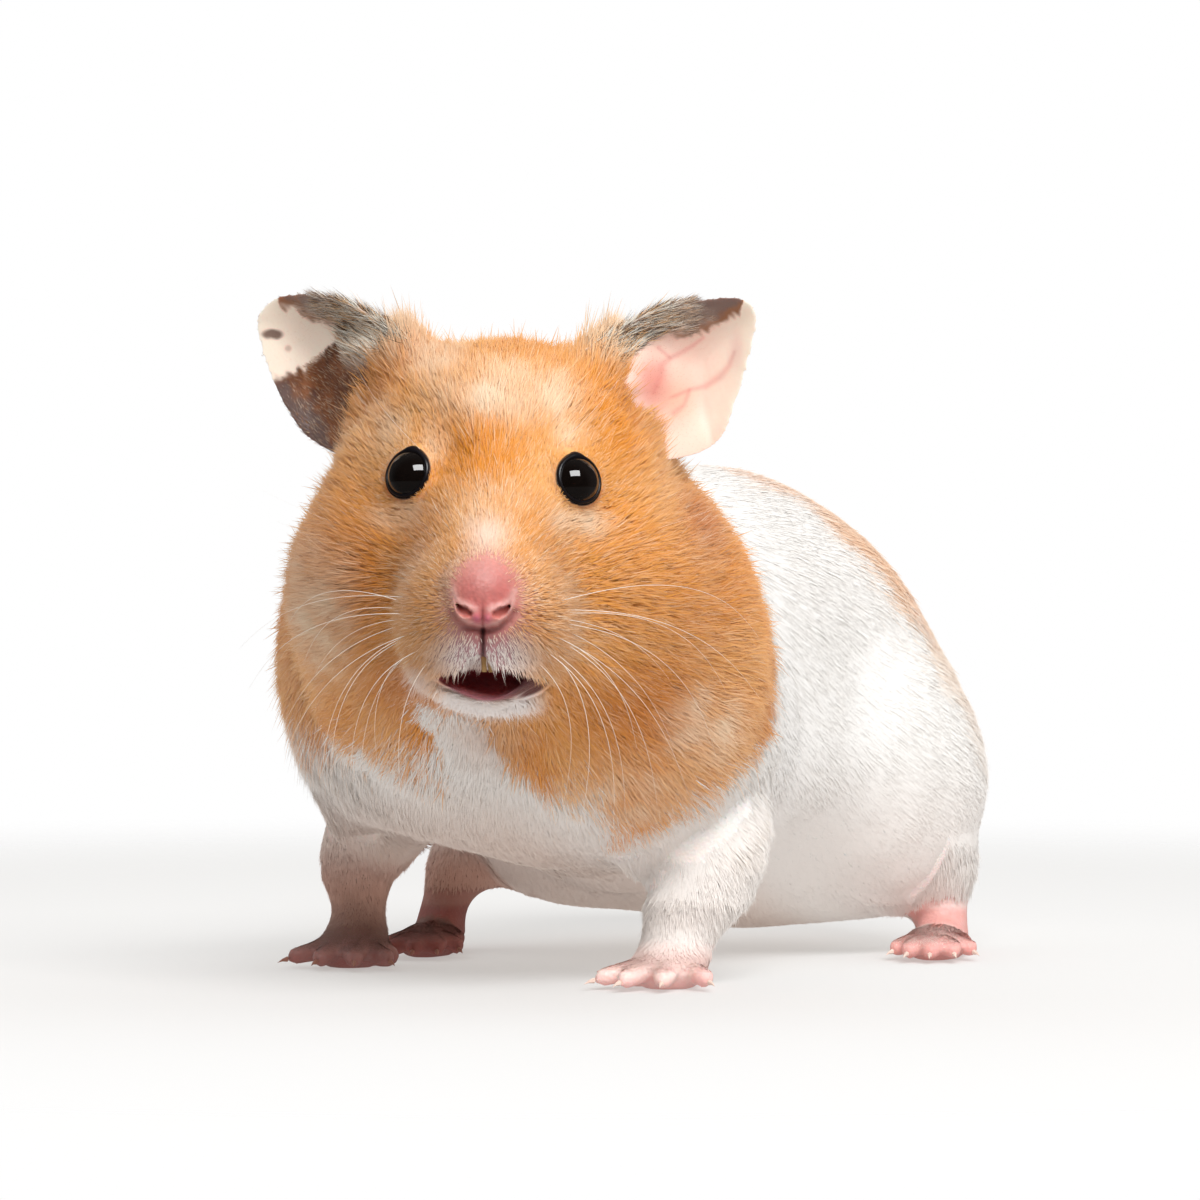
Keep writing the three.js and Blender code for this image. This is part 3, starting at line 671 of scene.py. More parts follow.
def mouth_colour(head):
    """Painted shade: dark red at the back and towards the left, where shade falls in the mouth, and mauve
    towards the lower lip.
    """
    along, level, half = mouth_half(head)
    lower = (level - head[:, 2]) / half
    lining = tinted(MOUTH_SHADE_RED, MOUTH_MAUVE, soft(-0.3, 0.7, lower) * (1 - 0.8 * along))
    lining = tinted(lining, LIP_INSIDE, soft(-8.4, -10.0, head[:, 1]) * soft(0.2, 0.9, lower))
    # painted shade, deeper towards the animal's left
    return lining * (1 - 0.75 * soft(1.5, 4.0, head[:, 0]))[:, None]


def foot_colour(points):
    """Pink, deeper under the soles and on the hind feet, and darkened by painted shade on the animal's
    right.
    """
    foot = tinted(TOE_PINK, DEEP_PINK, soft(2.2, 0.4, points[:, 2]) * 0.4)
    foot = tinted(foot, DEEP_PINK, 0.25 * soft(0.2, 1, mottle(points, 2.5, 41)))
    foot = tinted(foot, HIND_PINK, (points[:, 1] > -8) * 0.75)
    foot = tinted(foot, SHIN_PINK, shin(points) * soft(5.4, 7.0, points[:, 2]) * 0.8)
    # painted shade on the feet of the animal's right side
    return tinted(foot, RIGHT_FOOT_SHADE, (points[:, 0] < 3) * 0.8)


def skin_colour(points):
    """Bare skin where no hair grows, and a pinker shade of the coat under the hair."""
    head = in_head(points)
    tone = tinted(hair_colour(points), PINK_SKIN, 0.35 * (1 - soft(12, 22, from_nose(head))))
    tone = tinted(tone, MUZZLE_MAUVE, around(head, [0.5, -11.5, -14.6], [7.6, 7, 5.6], 0.7) * 0.8)
    tone = tinted(tone, LIP_MAUVE, around(head, [0.5, -12.0, -17.2], [6.4, 7, 2.8], 0.6) * 0.9)
    tone = tinted(tone, CHIN_SKIN, around(head, [0.5, -9.5, -23.4], [7.0, 6, 2.2], 0.4))
    tone = tinted(tone, nose_colour(points, head), around(head, [0.5, -13.0, -11.7], [4.3, 7, 5.3], 0.5))
    # painted shadow in the crease under the nose, and in each nostril under its rim, fading to the
    # nostril's own red below
    tone = tinted(tone, WING_CREASE_SHADOW, wing_crease(head) * 0.65)
    tone = tinted(tone, tinted(NOSTRIL_SHADOW, NOSTRIL_RED, soft(-13.2, -14.1, head[:, 2])), nostrils(head))
    # painted shade in the groove down the nose and in the groove of the upper lip
    tone = tinted(tone, CLEFT_SHADE, cleft(head) * 0.5)
    tone = tinted(tone, PHILTRUM_SHADE, philtrum(head) * 0.9)
    tone = tinted(tone, mouth_colour(head), mouth_inside(head))
    # painted shade in the creases at the corners of the mouth
    away = np.abs(head[:, 0] - MOUTH_MIDDLE)
    corner = bell(head[:, 2] - MOUTH_LEVEL, 0.25) * soft(4.6, 5.2, away) * (head[:, 1] < -3)
    tone = tinted(tone, CORNER_CREASE_SHADE, corner * soft(6.6, 5.8, away) * 0.6)
    tone = tinted(tone, LID_BLACK, 1 - soft(0.2, 0.42, past_lid(head)))
    return tinted(tone, foot_colour(points), np.maximum(on_foot(points), on_leg(points) * 0.5))


def coloured(mesh, name, colours):
    layer = mesh.color_attributes.new(name=name, type="FLOAT_COLOR", domain="POINT")
    opaque = np.column_stack([colours, np.ones(len(colours))])
    layer.data.foreach_set("color", opaque.astype(np.float32).ravel())


def clothed(mesh, material):
    """Gives a mesh its one material and smooth shading."""
    mesh.materials.clear()
    mesh.materials.append(material)
    mesh.polygons.foreach_set("use_smooth", np.ones(len(mesh.polygons), bool))


def finish(name, **sockets):
    """A new material and its Principled node, with plain values set on its sockets."""
    made = bpy.data.materials.new(name)
    made.use_nodes = True
    shader = made.node_tree.nodes["Principled BSDF"]
    for socket, value in sockets.items():
        shader.inputs[socket.replace("_", " ")].default_value = value
    return made, shader


def new_node(owner, kind, sockets=None, **modes):
    """A new shader node, with its modes set and plain values on its sockets."""
    made = owner.node_tree.nodes.new("ShaderNode" + kind)
    for name, mode in modes.items():
        setattr(made, name, mode)
    for socket, value in (sockets or {}).items():
        made.inputs[socket].default_value = value
    return made


def wired(owner, *wires):
    """Joins sockets. Each wire is a node and its output, then a node and its input."""
    for source, output, target, socket in wires:
        owner.node_tree.links.new(source.outputs[output], target.inputs[socket])


def reads_colour(made, shader, attribute, socket="Base Color"):
    wired(made, (new_node(made, "Attribute", attribute_name=attribute), "Color", shader, socket))


def clouded(made, shader, per_metre, dark, light):
    """A soft uneven cloud of two near colours all through a piece."""
    where = new_node(made, "TexCoord")
    cloud = new_node(made, "TexNoise", {"Scale": per_metre})
    shade = new_node(made, "ValToRGB")
    shade.color_ramp.elements[0].color = (*dark, 1)
    shade.color_ramp.elements[1].color = (*light, 1)
    wired(
        made, (where, "Object", cloud, "Vector"), (cloud, "Fac", shade, "Fac"),
        (shade, "Color", shader, "Base Color"),
    )


def grained(made, shader, per_metre, strength, depth):
    """Fine pores and creases raised in the surface."""
    where = new_node(made, "TexCoord")
    pores = new_node(made, "TexVoronoi", {"Scale": per_metre})
    raised = new_node(made, "Bump", {"Strength": strength, "Distance": depth * MM})
    wired(
        made, (where, "Object", pores, "Vector"), (pores, "Distance", raised, "Height"),
        (raised, "Normal", shader, "Normal"),
    )


coloured(skin.data, "flesh", skin_colour(places(skin.data)))
bare_skin, shader = finish("bare skin", Roughness=0.46, Specular_IOR_Level=0.35, Subsurface_Weight=0.25)
shader.inputs["Subsurface Radius"].default_value = (1.0, 0.35, 0.25)
shader.inputs["Subsurface Scale"].default_value = 0.6 * MM
reads_colour(bare_skin, shader, "flesh")
grained(bare_skin, shader, 2600, 0.4, 0.12)
clothed(skin.data, bare_skin)
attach(skin, "root")
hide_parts(*FLESH)

# The eyes are wet black balls that bulge between dark lids. The iris is so dark that it hardly
# shows. Each ball sits in its socket, and the lids of the skin hug it.
wet_black, shader = finish(
    "wet black", Roughness=0.04, Specular_IOR_Level=0.5, Coat_Weight=0.3, Coat_Roughness=0.02,
)
clouded(wet_black, shader, 900, (0.0030, 0.0022, 0.0020), (0.008, 0.005, 0.004))
for side, seat in zip(SIDES, EYE_SEATS):
    ball = bmesh.new()
    bmesh.ops.create_uvsphere(ball, u_segments=56, v_segments=36, radius=EYE_RADIUS * MM)
    bmesh.ops.translate(ball, verts=ball.verts, vec=Vector(from_head([seat])[0]) * MM)
    eyeball = thing(f"eyeball_{side}", cast(f"eyeball_{side}", ball))
    clothed(eyeball.data, wet_black)
    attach(eyeball, "root")
    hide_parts(f"eye_{side}")

# Each eye has a dark wet rim along the edge of its lids. It is widest at the top, where the upper
# lid folds, and on the side towards the nose.
rim_black, shader = finish("lid rim", Roughness=0.3, Specular_IOR_Level=0.35)
clouded(rim_black, shader, 2000, LID_BLACK * 0.7, LID_BLACK * 1.6)
RIM_STEPS, RIM_ROUND = 96, 12
for side, seat, gaze in zip(SIDES, EYE_SEATS, GAZES):
    nasal = np.cross(gaze, [0, 0, 1]) * (1 if side == "right" else -1)
    nasal /= np.linalg.norm(nasal)
    nasal = nasal if nasal[0] * seat[0] < 0 else -nasal
    upper = np.cross(nasal, gaze)
    upper = upper if upper[2] > 0 else -upper
    turn = np.arange(RIM_STEPS) / RIM_STEPS * 2 * math.pi  # from the top towards the nose
    from_top = np.minimum(turn, 2 * math.pi - turn)
    half = 0.17 + 0.36 * bell(from_top, 0.34) + 0.13 * bell(turn - 1.1, 0.9)
    spread = np.radians(EYE_OPEN - 3.5) + half / EYE_RADIUS * 0.8
    outwards = np.cos(turn)[:, None] * upper + np.sin(turn)[:, None] * nasal
    ray = np.cos(spread)[:, None] * gaze + np.sin(spread)[:, None] * outwards
    along = np.sin(spread)[:, None] * gaze - np.cos(spread)[:, None] * outwards
    angle = np.arange(RIM_ROUND) / RIM_ROUND * 2 * math.pi
    rise = (EYE_RADIUS + 0.04 + half[:, None] * 0.75 * np.sin(angle))[:, :, None] * ray[:, None]
    ring = seat + rise + (half[:, None] * np.cos(angle))[:, :, None] * along[:, None]
    corner = np.arange(RIM_STEPS * RIM_ROUND).reshape(RIM_STEPS, RIM_ROUND)
    ahead, beside = np.roll(corner, -1, axis=0), np.roll(corner, -1, axis=1)
    faces = np.stack([corner, beside, np.roll(ahead, -1, axis=1), ahead], axis=2).reshape(-1, 4)
    mesh = bpy.data.meshes.new(f"lid_rim_{side}")
    mesh.from_pydata((from_head(ring.reshape(-1, 3)) * MM).tolist(), [], faces.tolist())
    outside = bmesh.new()
    outside.from_mesh(mesh)
    bmesh.ops.recalc_face_normals(outside, faces=outside.faces)
    outside.to_mesh(mesh)
    outside.free()
    clothed(mesh, rim_black)
    lid_rim = thing(f"lid_rim_{side}", mesh)
    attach(lid_rim, "root")

# The ears are thin cupped leaves of skin. The right one is cream inside above and brown below,
# and the left one is pink with fine red veins. Both have a dark upper rim.
EAR_CELL = 0.16
RIM_GREY = paint(132, 110, 102)
EAR_BROWN = paint(140, 88, 58)
DARK_BROWN = paint(90, 54, 42)
EAR_CREAM = paint(252, 236, 220)
EAR_PINK = paint(250, 214, 198)
EAR_RED = paint(222, 138, 124)
VEIN_RED = paint(206, 104, 100)
EDGE_MAUVE = paint(206, 160, 156)
LOBE_CREAM = paint(244, 208, 190)
CUP_TAN = paint(238, 176, 150)
ROOT_BROWN_GREY = paint(104, 84, 80)
RIM_BROWN = paint(156, 110, 82)
UNDER_FUR = paint(232, 208, 192)
BACK_BROWN = paint(190, 150, 132)
# lines on each ear seen from the front, as runs of places: to the side, up
RIM_LINE = {
    "left": [(11.1, 11.2), (12.1, 11.9), (14.0, 13.6), (16.3, 15.1),
             (19.0, 14.9), (21.4, 15.9), (24.0, 17.2), (24.4, 19.5)],
    "right": [(14.0, 14.6), (16.2, 15.2), (18.4, 15.2), (20.6, 15.9),
              (21.6, 16.7), (23.1, 16.9), (23.6, 19.5)],
}
BROWN_LINE = [(14.8, 15.4), (15.7, 14.6), (16.4, 13.7), (18.2, 12.6),
              (19.8, 11.7), (21.6, 10.2), (23.2, 9.6), (24.5, 9.4)]
GREY_LINE = [(15.6, 0.0), (17.4, 3.2), (19.2, 6.5), (22.7, 8.9), (24.5, 9.6)]
VEINS = [
    [(20.2, 14.8), (18.9, 13.8), (16.9, 12.6), (16.1, 11.9), (16.0, 10.6), (15.4, 9.0)],
    [(17.1, 8.6), (18.9, 9.5), (20.5, 9.9), (22.0, 10.9), (22.9, 12.0), (23.4, 13.4)],
    [(16.9, 12.6), (15.7, 13.6)],
    [(18.9, 9.5), (18.4, 7.9), (17.4, 7.0)],
]
VEIN_HALF = [0.14, 0.18, 0.26, 0.32, 0.26, 0.16]


def line_height(side_ways, run):
    return np.interp(side_ways, [x for x, _ in run], [z for _, z in run])


def on_ear(points):
    """How far out and how far up a place lies on either ear."""
    head = in_head(points)
    return np.abs(head[:, 0]), head[:, 2]


def ear_base(points, side):
    """1 where longer hair grows, up the root and the upper rim of an ear, and 0 on the bare leaf."""
    x, z = on_ear(points)
    base = soft(23.0, 15.0, x + 0.8 * mottle(points, 1.6, 53))
    base = base * soft(-0.7, 0.6, z - line_height(x, RIM_LINE[side]))
    return np.maximum(base, soft(16.9, 15.4, x) * soft(10.0, 12.0, z)) if side == "right" else base


def ear_down(points, side):
    """1 on the brown lower part of the right ear, which carries short brown down."""
    x, z = on_ear(points)
    return soft(-0.5, 0.6, line_height(x, BROWN_LINE) - z) * (side == "right") * soft(24, 21, x)


def right_ear_colour(points, patchy):
    x, z = on_ear(points)
    shade = tinted(EAR_BROWN, DARK_BROWN, 0.35 + 0.6 * patchy)
    root = around(in_head(points), [-16.2, 6, 8.4], [2.6, 9, 4.0], 0.9)
    shade = tinted(shade, DARK_BROWN, root * 0.8)
    shade = tinted(shade, ROOT_BROWN_GREY, soft(-1.2, 0.9, line_height(x, GREY_LINE) - z + 0.8 * patchy))
    colour = tinted(EAR_CREAM, shade, soft(-0.5, 0.6, line_height(x, BROWN_LINE) - z + 0.7 * patchy))
    spot = np.hypot((x - 23.9) / 1.0, (z - 14.1) / 0.5) + 0.25 * patchy
    colour = tinted(colour, DARK_BROWN, (1 - soft(0.6, 1.3, spot)) * 0.85)
    dot = np.hypot(x - 22.4, z - 12.7) / 0.4
    return tinted(colour, EAR_BROWN, (1 - soft(0.4, 1.2, dot)) * 0.4)


def left_ear_colour(points, patchy):
    head = in_head(points)
    x, z = on_ear(points)
    colour = tinted(EAR_PINK, EAR_CREAM, soft(18, 24.5, x + 0.4 * patchy))
    colour = tinted(colour, LOBE_CREAM, soft(7.0, 4.0, z) * 0.9)
    colour = tinted(colour, CUP_TAN, around(head, [17.6, 9, 8.2], [3.0, 9, 3.2], 1.0) * 0.8)
    colour = tinted(colour, EAR_RED, around(head, [15.2, 9, 10.0], [2.0, 9, 3.2], 0.9) * 0.8)
    for vein in VEINS:
        away, along = from_run(x, z, vein)
        half = np.interp(along, range(len(VEIN_HALF)), VEIN_HALF)
        colour = tinted(colour, VEIN_RED, bell(away / half, 1.25) * 0.32)
    return tinted(colour, EDGE_MAUVE, around(head, [23.6, 9, 13.6], [0.9, 9, 2.2], 1.0) * 0.35)


def ear_colour(points, normals, side):
    """Each ear's own colours in front, the dark upper rim, and grey-brown behind."""
    x, z = on_ear(points)
    patchy = 0.5 * mottle(points, 2.2, 51) + 0.45 * mottle(points, 0.7, 52)
    colour = (right_ear_colour if side == "right" else left_ear_colour)(points, patchy)
    above = z - line_height(x, RIM_LINE[side])
    dark = tinted(RIM_BROWN, RIM_GREY, soft(0.5, 1.5, above + 0.5 * patchy))
    colour = tinted(colour, dark, soft(-0.35, 0.4, above + 0.45 * patchy))
    colour = tinted(colour, UNDER_FUR, ear_base(points, side) * 0.8)
    behind = tinted(BACK_BROWN, RIM_GREY, soft(6, 15, z + 1.5 * patchy) * 0.8)
    return tinted(colour, behind, soft(0.25, 0.7, normals @ HEAD[1]) * (1 - ear_base(points, side)))


def tree_of(mesh):
    corners = [vertex.co[:] for vertex in mesh.vertices]
    return BVHTree.FromPolygons(corners, [face.vertices[:] for face in mesh.polygons])


skin_tree = tree_of(skin.data)
ear_leaf, shader = finish("ear skin", Roughness=0.5, Specular_IOR_Level=0.3, Subsurface_Weight=0.3)
shader.inputs["Subsurface Radius"].default_value = (1.0, 0.6, 0.5)
shader.inputs["Subsurface Scale"].default_value = 0.6 * MM
reads_colour(ear_leaf, shader, "flesh")
# painted light: the ear skin glows faintly in its own colour, standing in for daylight that shines through
# the thin leaf
reads_colour(ear_leaf, shader, "flesh", "Emission Color")  # daylight that shines through the thin leaf
shader.inputs["Emission Strength"].default_value = 0.13
grained(ear_leaf, shader, 2600, 0.15, 0.06)
ears = {}
for side in SIDES:
    ear = thing(f"ear_skin_{side}", joined_solids([f"ear_{side}"], 0.05))
    evenly_meshed(ear, EAR_CELL)
    leaf = relaxed(places(ear.data), links(ear.data), 26, 0.5)
    inwards = np.array([-1.0 if side == "left" else 1.0, 0.15, -0.7]) @ HEAD
    for i in range(len(leaf)):
        gap = skin_tree.find_nearest(Vector(leaf[i]) * MM)[3] / MM
        leaf[i] += inwards * 2.6 * max(0.0, 1 - gap / 4.0)
    head = in_head(leaf)
    # the front edge of each ear runs forward into the side of the head
    inner = soft(20.5, 14.5, np.abs(head[:, 0])) * soft(15.0, 9.0, head[:, 2])
    head -= inner[:, None] * (np.array([2.6, 6.5, 0]) if side == "left" else np.array([-1.6, 5.0, 0]))
    head[:, 2] += (0.45 if side == "left" else 0.6) * soft(9, 16, head[:, 2])
    if side == "left":
        head[:, 0] += 1.0 * soft(9, 4, head[:, 2]) * soft(16, 19, head[:, 0])
    leaf = from_head(head)
    put(ear.data, leaf)
    coloured(ear.data, "flesh", ear_colour(leaf, facing(ear.data), side))
    clothed(ear.data, ear_leaf)
    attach(ear, "root")
    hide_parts(f"ear_{side}")
    ears[side] = ear

# The claws are short clear horn, a little pink from the skin beneath. Each grows from the tip of
# its toe, and those on the animal's right are duller, and darker with painted shade.
horn, shader = finish("claw horn", Roughness=0.32, Specular_IOR_Level=0.5, Coat_Weight=0.2)
clouded(horn, shader, 1400, paint(226, 190, 176), paint(246, 228, 214))
# painted shade darkens the horn of the claws on the animal's right
dull_shaded_horn, shader = finish("dull shaded claw horn", Roughness=0.4, Specular_IOR_Level=0.4)
clouded(dull_shaded_horn, shader, 1400, paint(150, 96, 82), paint(176, 126, 108))
for name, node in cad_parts.items():
    if "_claw_" in name:
        node.data.materials.clear()
        node.data.materials.append(dull_shaded_horn if "right" in name else horn)

# The two upper front teeth are worn yellow ivory, rooted in the jaw. They show only as a hint
# under the middle of the upper lip.
TOOTH_RADIUS, TOOTH_TIP_RADIUS, TOOTH_LONG, TOOTH_SPACING = 0.36, 0.26, 1.8, 0.66
teeth = bmesh.new()
turn = Matrix([head_x, head_y, head_z]).transposed().to_4x4()
for side in (1, -1):
    before = set(teeth.verts)
    bmesh.ops.create_cone(
        teeth, cap_ends=True, segments=14, depth=TOOTH_LONG * MM,
        radius1=TOOTH_RADIUS * MM, radius2=TOOTH_TIP_RADIUS * MM,
    )
    fresh = [vert for vert in teeth.verts if vert not in before]
    bmesh.ops.scale(teeth, verts=fresh, vec=(1, 0.62, -1))
    seat = from_head([[PAD_MIDDLE + 0.3 + side * TOOTH_SPACING / 2, -11.2, -18.6]])[0]
    bmesh.ops.transform(teeth, verts=fresh, matrix=Matrix.Translation(Vector(seat) * MM) @ turn)
bmesh.ops.recalc_face_normals(teeth, faces=teeth.faces)
bmesh.ops.bevel(
    teeth, geom=teeth.edges[:], offset=0.06 * MM, segments=2, profile=0.5, affect="EDGES", material=-1,
)
front_teeth = thing("front_teeth", cast("front_teeth", teeth))
ivory, shader = finish("tooth", Roughness=0.3, Specular_IOR_Level=0.5)
clouded(ivory, shader, 1800, paint(176, 128, 72), paint(214, 178, 124))
clothed(front_teeth.data, ivory)
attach(front_teeth, "root")

# The coat is short and dense. Each hair is a thin tapered blade with its root in the skin. It lies
# back from the nose over head and cheeks, back and down on the trunk, and down the legs.
MOST_HAIRS = 700_000
REGIONS = ("face", "head", "neck", "trunk", "legs")
ON_FACE, ON_HEAD, ON_NECK, ON_TRUNK, ON_LEGS = range(len(REGIONS))
CROWD = {"face": 90, "head": 68, "neck": 44, "trunk": 26, "legs": 60}  # hairs on a square mm
TUFT = {"face": 0.6, "head": 0.9, "neck": 1.5, "trunk": 2.0, "legs": 1.0}  # mm across
GATHER = {"face": 0.3, "head": 0.3, "neck": 0.3, "trunk": 0.05, "legs": 0.1}  # towards the tuft's middle
WIDTH = {"face": 0.075, "head": 0.09, "neck": 0.12, "trunk": 0.24, "legs": 0.13}
LIFT = {"face": 0.34, "head": 0.36, "neck": 0.28, "trunk": 0.055, "legs": 0.2}  # from the skin, in radians
VARIED = {"face": 0.46, "head": 0.3, "neck": 0.24, "trunk": 0.03, "legs": 0.04}  # in colour, hair to hair
HAIRS_IN_PIECE = 96_000


def region(points):
    """Which part of the coat a root belongs to, as a place in REGIONS."""
    head = in_head(points)
    part = np.full(len(points), ON_TRUNK)
    ragged = 4.0 * mottle(points, 3.0, 81)
    part[(points[:, 1] + ragged < -15) | (head[:, 1] + ragged < 24)] = ON_NECK
    part[(head[:, 1] < 14) & (head[:, 2] > -19)] = ON_HEAD
    part[(from_nose(head) < 13) & (head[:, 2] > -24.5)] = ON_FACE
    part[(on_leg(points) > 0.5) | (on_foot(points) > 0.3)] = ON_LEGS
    return part


def bare(points):
    """1 where no hair grows: eyes, nose pad, inside the mouth, shins, soles and toes."""
    head = in_head(points)
    return np.maximum.reduce([
        1 - soft(0.32, 0.45, past_lid(head)),
        on_fold(head) > 0.6,
        around(head, [PAD_MIDDLE, -14.0, -11.65], [3.5, 5, 4.06], 0.35),
        around(head, [PAD_MIDDLE, -14.5, -13.5], [3.1, 4, 1.95], 0.25),
        np.maximum(philtrum(head), wing_crease(head) * 0.5) > 0.3,
        mouth_inside(head) > np.where(head[:, 1] < -8.6, 0.6, 0.12),
        on_foot(points) * (1 - soft(1.6, 2.6, points[:, 2])),
        shin(points),
        soft(0.9, 0.4, points[:, 2]),
    ])


def sparseness(points):
    head = in_head(points)
    lip = around(head, [0.5, -12.5, -16.6], [6.4, 6, 4.4], 0.8)
    muzzle = around(head, [0.5, -12.5, -13.0], [6.4, 7, 5.0], 0.6)
    return (1 - 0.68 * lip) * (1 - 0.66 * muzzle) * (1 - 0.3 * on_foot(points))


def pad_side(head):
    """1 on the outer side of each lip pad, where the hair is long and loose."""
    return around(both_sides(head, 0.5), [6.5, -8.5, -14.0], [3.0, 5.0, 6.0], 0.8)


def hair_length(points):
    head = in_head(points)
    length = np.interp(from_nose(head), [3, 5, 8, 12, 18, 26, 36], [0.6, 1.1, 1.8, 2.4, 3.1, 3.8, 4.4])
    length = np.minimum(length, 0.4 + 0.55 * np.maximum(past_lid(head), 0))
    length += 1.3 * pad_side(head)
    length = length * (1 - 0.4 * around(head, [0.5, -12.0, -18.6], [6.5, 6, 2.4], 0.6))
    length = length * (1 - 0.5 * around(head, [0.5, -9.5, -22.6], [6.8, 4.5, 1.7], 0.6))
    length = length * (1 - 0.5 * soft(24, 12, points[:, 2]))
    legs = on_leg(points)
    legs_length = np.interp(points[:, 2], [2.0, 3.0, 4.6, 9, 13, 17], [0.35, 0.8, 1.6, 2.2, 2.7, 3.2])
    legs_length = legs_length * np.where(points[:, 0] < 3, 0.5, 1.0)
    length = length * (1 - legs) + legs * legs_length
    return length * (1 - 0.7 * soft(57, 60, points[:, 1]))


def along_skin(flow, normals):
    """The flow laid flat on the skin, at length 1."""
    flow = flow - normals * (flow * normals).sum(1)[:, None]
    return flow / np.maximum(span(flow), 1e-6)[:, None]


def lie(points, normals):
    """The way the hair lies at each root, along the skin."""
    head = in_head(points)
    away = head - np.array([PAD_MIDDLE, -17.5, -13.0])
    away /= span(away)[:, None]
    for seat in EYE_SEATS:
        out = head - seat
        gap = span(out)
        away += out / gap[:, None] * (0.7 * np.exp(-((gap - EYE_RADIUS) / 1.6)))[:, None]
    lip = around(head, [0.5, -13, -17.6], [6, 6, 2.8], 0.8)
    away[:, 2] -= 0.9 * lip
    beside = head[:, 0] - PAD_MIDDLE
    away[:, 0] += 0.7 * np.sign(beside) * bell(beside, 1.1) * lip
    _, level, half = mouth_half(head)
    edge = bell(head[:, 2] - level + half, 0.55) * (head[:, 1] < -7.5)
    away[:, 2] += 2.4 * (edge * (np.abs(head[:, 0] - 1.2) < 4.1))
    flow = away @ HEAD
    side = np.abs(normals[:, 0])
    trunk = np.column_stack([0.1 * normals[:, 0], np.ones(len(points)), -0.25 - 0.35 * side])
    trunk[:, 2] -= 0.8 * soft(-10, -24, points[:, 1]) * soft(34, 24, points[:, 2])
    trunk /= span(trunk)[:, None]
    back = soft(10, 26, head[:, 1])[:, None]
    flow = flow * (1 - back) + trunk * back
    legs = on_leg(points)[:, None]
    flow = flow * (1 - legs) + np.array([0.0, 0.12, -1.0]) * legs
    foot = (on_foot(points) * soft(4.0, 2.0, points[:, 2]))[:, None]
    flow = flow * (1 - foot) + np.array([0.0, -1.0, -0.6]) * foot
    return along_skin(flow, normals)


def scrambled(cells, salt):
    """Even draws from 0 to 1 that depend only on the cell's three numbers."""
    a = (cells[:, 0] * 73856093) ^ (cells[:, 1] * 19349663) ^ (cells[:, 2] * 83492791) ^ (salt * 2654435761)
    a = (a ^ (a >> 13)) * 1274126177 & 0xFFFFFFFF
    a = (a ^ (a >> 16)) * 2246822519 & 0xFFFFFFFF
    return ((a ^ (a >> 15)) & 0xFFFFFF) / 0xFFFFFF


def tufts(points, across):
    """For each root, the middle of its tuft and two draws that the whole tuft shares."""
    base = np.floor(points / across).astype(np.int64)
    best = np.full(len(points), 1e9)
    middles = np.zeros_like(points)
    draws = np.zeros((len(points), 2))
    for step in np.ndindex(3, 3, 3):
        cell = base + np.array(step) - 1
        spot = (cell + np.column_stack([scrambled(cell, k) for k in (1, 2, 3)])) * across
        away = ((spot - points) ** 2).sum(1)
        nearer = away < best
        best[nearer] = away[nearer]
        middles[nearer] = spot[nearer]
        draws[nearer, 0] = scrambled(cell[nearer], 4)
        draws[nearer, 1] = scrambled(cell[nearer], 5)
    return middles, draws


SPINE = np.array([[-1.4, 52, 28], [0, 0, 30], [2, -30, 38], [16, -62, 42]], float)


def unwrapped(points):
    """Where each place lies on the skin when it is cut along the belly and laid flat."""
    best = np.full(len(points), 1e9)
    along = np.zeros(len(points))
    turn = np.zeros(len(points))
    start = 0.0
    for i, (a, b) in enumerate(zip(SPINE, SPINE[1:])):
        run = np.linalg.norm(b - a)
        ahead = (b - a) / run
        t = (points - a) @ ahead
        held = np.clip(t, -99 if i == 0 else 0, 99 if i == len(SPINE) - 2 else run)
        off = points - a - held[:, None] * ahead
        gap = span(off)
        across = np.cross(ahead, [0, 0, 1])
        across /= np.linalg.norm(across)
        nearer = gap < best
        best[nearer] = gap[nearer]
        along[nearer] = (start + held)[nearer]
        turn[nearer] = np.arctan2(off @ across, off @ np.cross(across, ahead))[nearer]
        start += run
    round_body = 0.5 + turn / (2 * math.pi) * 0.97
    flat = np.column_stack([round_body, 0.04 + 0.64 * np.clip((along + 20) / (start + 40), 0, 1)])
    for i, (leg, side) in enumerate(LIMBS):
        foot = FEET[(leg, side)]
        low, high = (np.array(corner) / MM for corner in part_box(foot))
        own = np.maximum(inside_box(points, f"{leg}leg_{side}", 1.0), inside_box(points, foot, 1.0))
        own = (own > 0.5) & (points[:, 2] < 15)
        centre = (low + high) / 2
        round_leg = np.arctan2(points[:, 0] - centre[0], points[:, 1] - centre[1]) / (2 * math.pi)
        flat[own, 0] = (i + 0.5 + round_leg[own] * 0.94) / 4
        flat[own, 1] = 0.72 + 0.26 * points[own, 2] / 15
    return flat


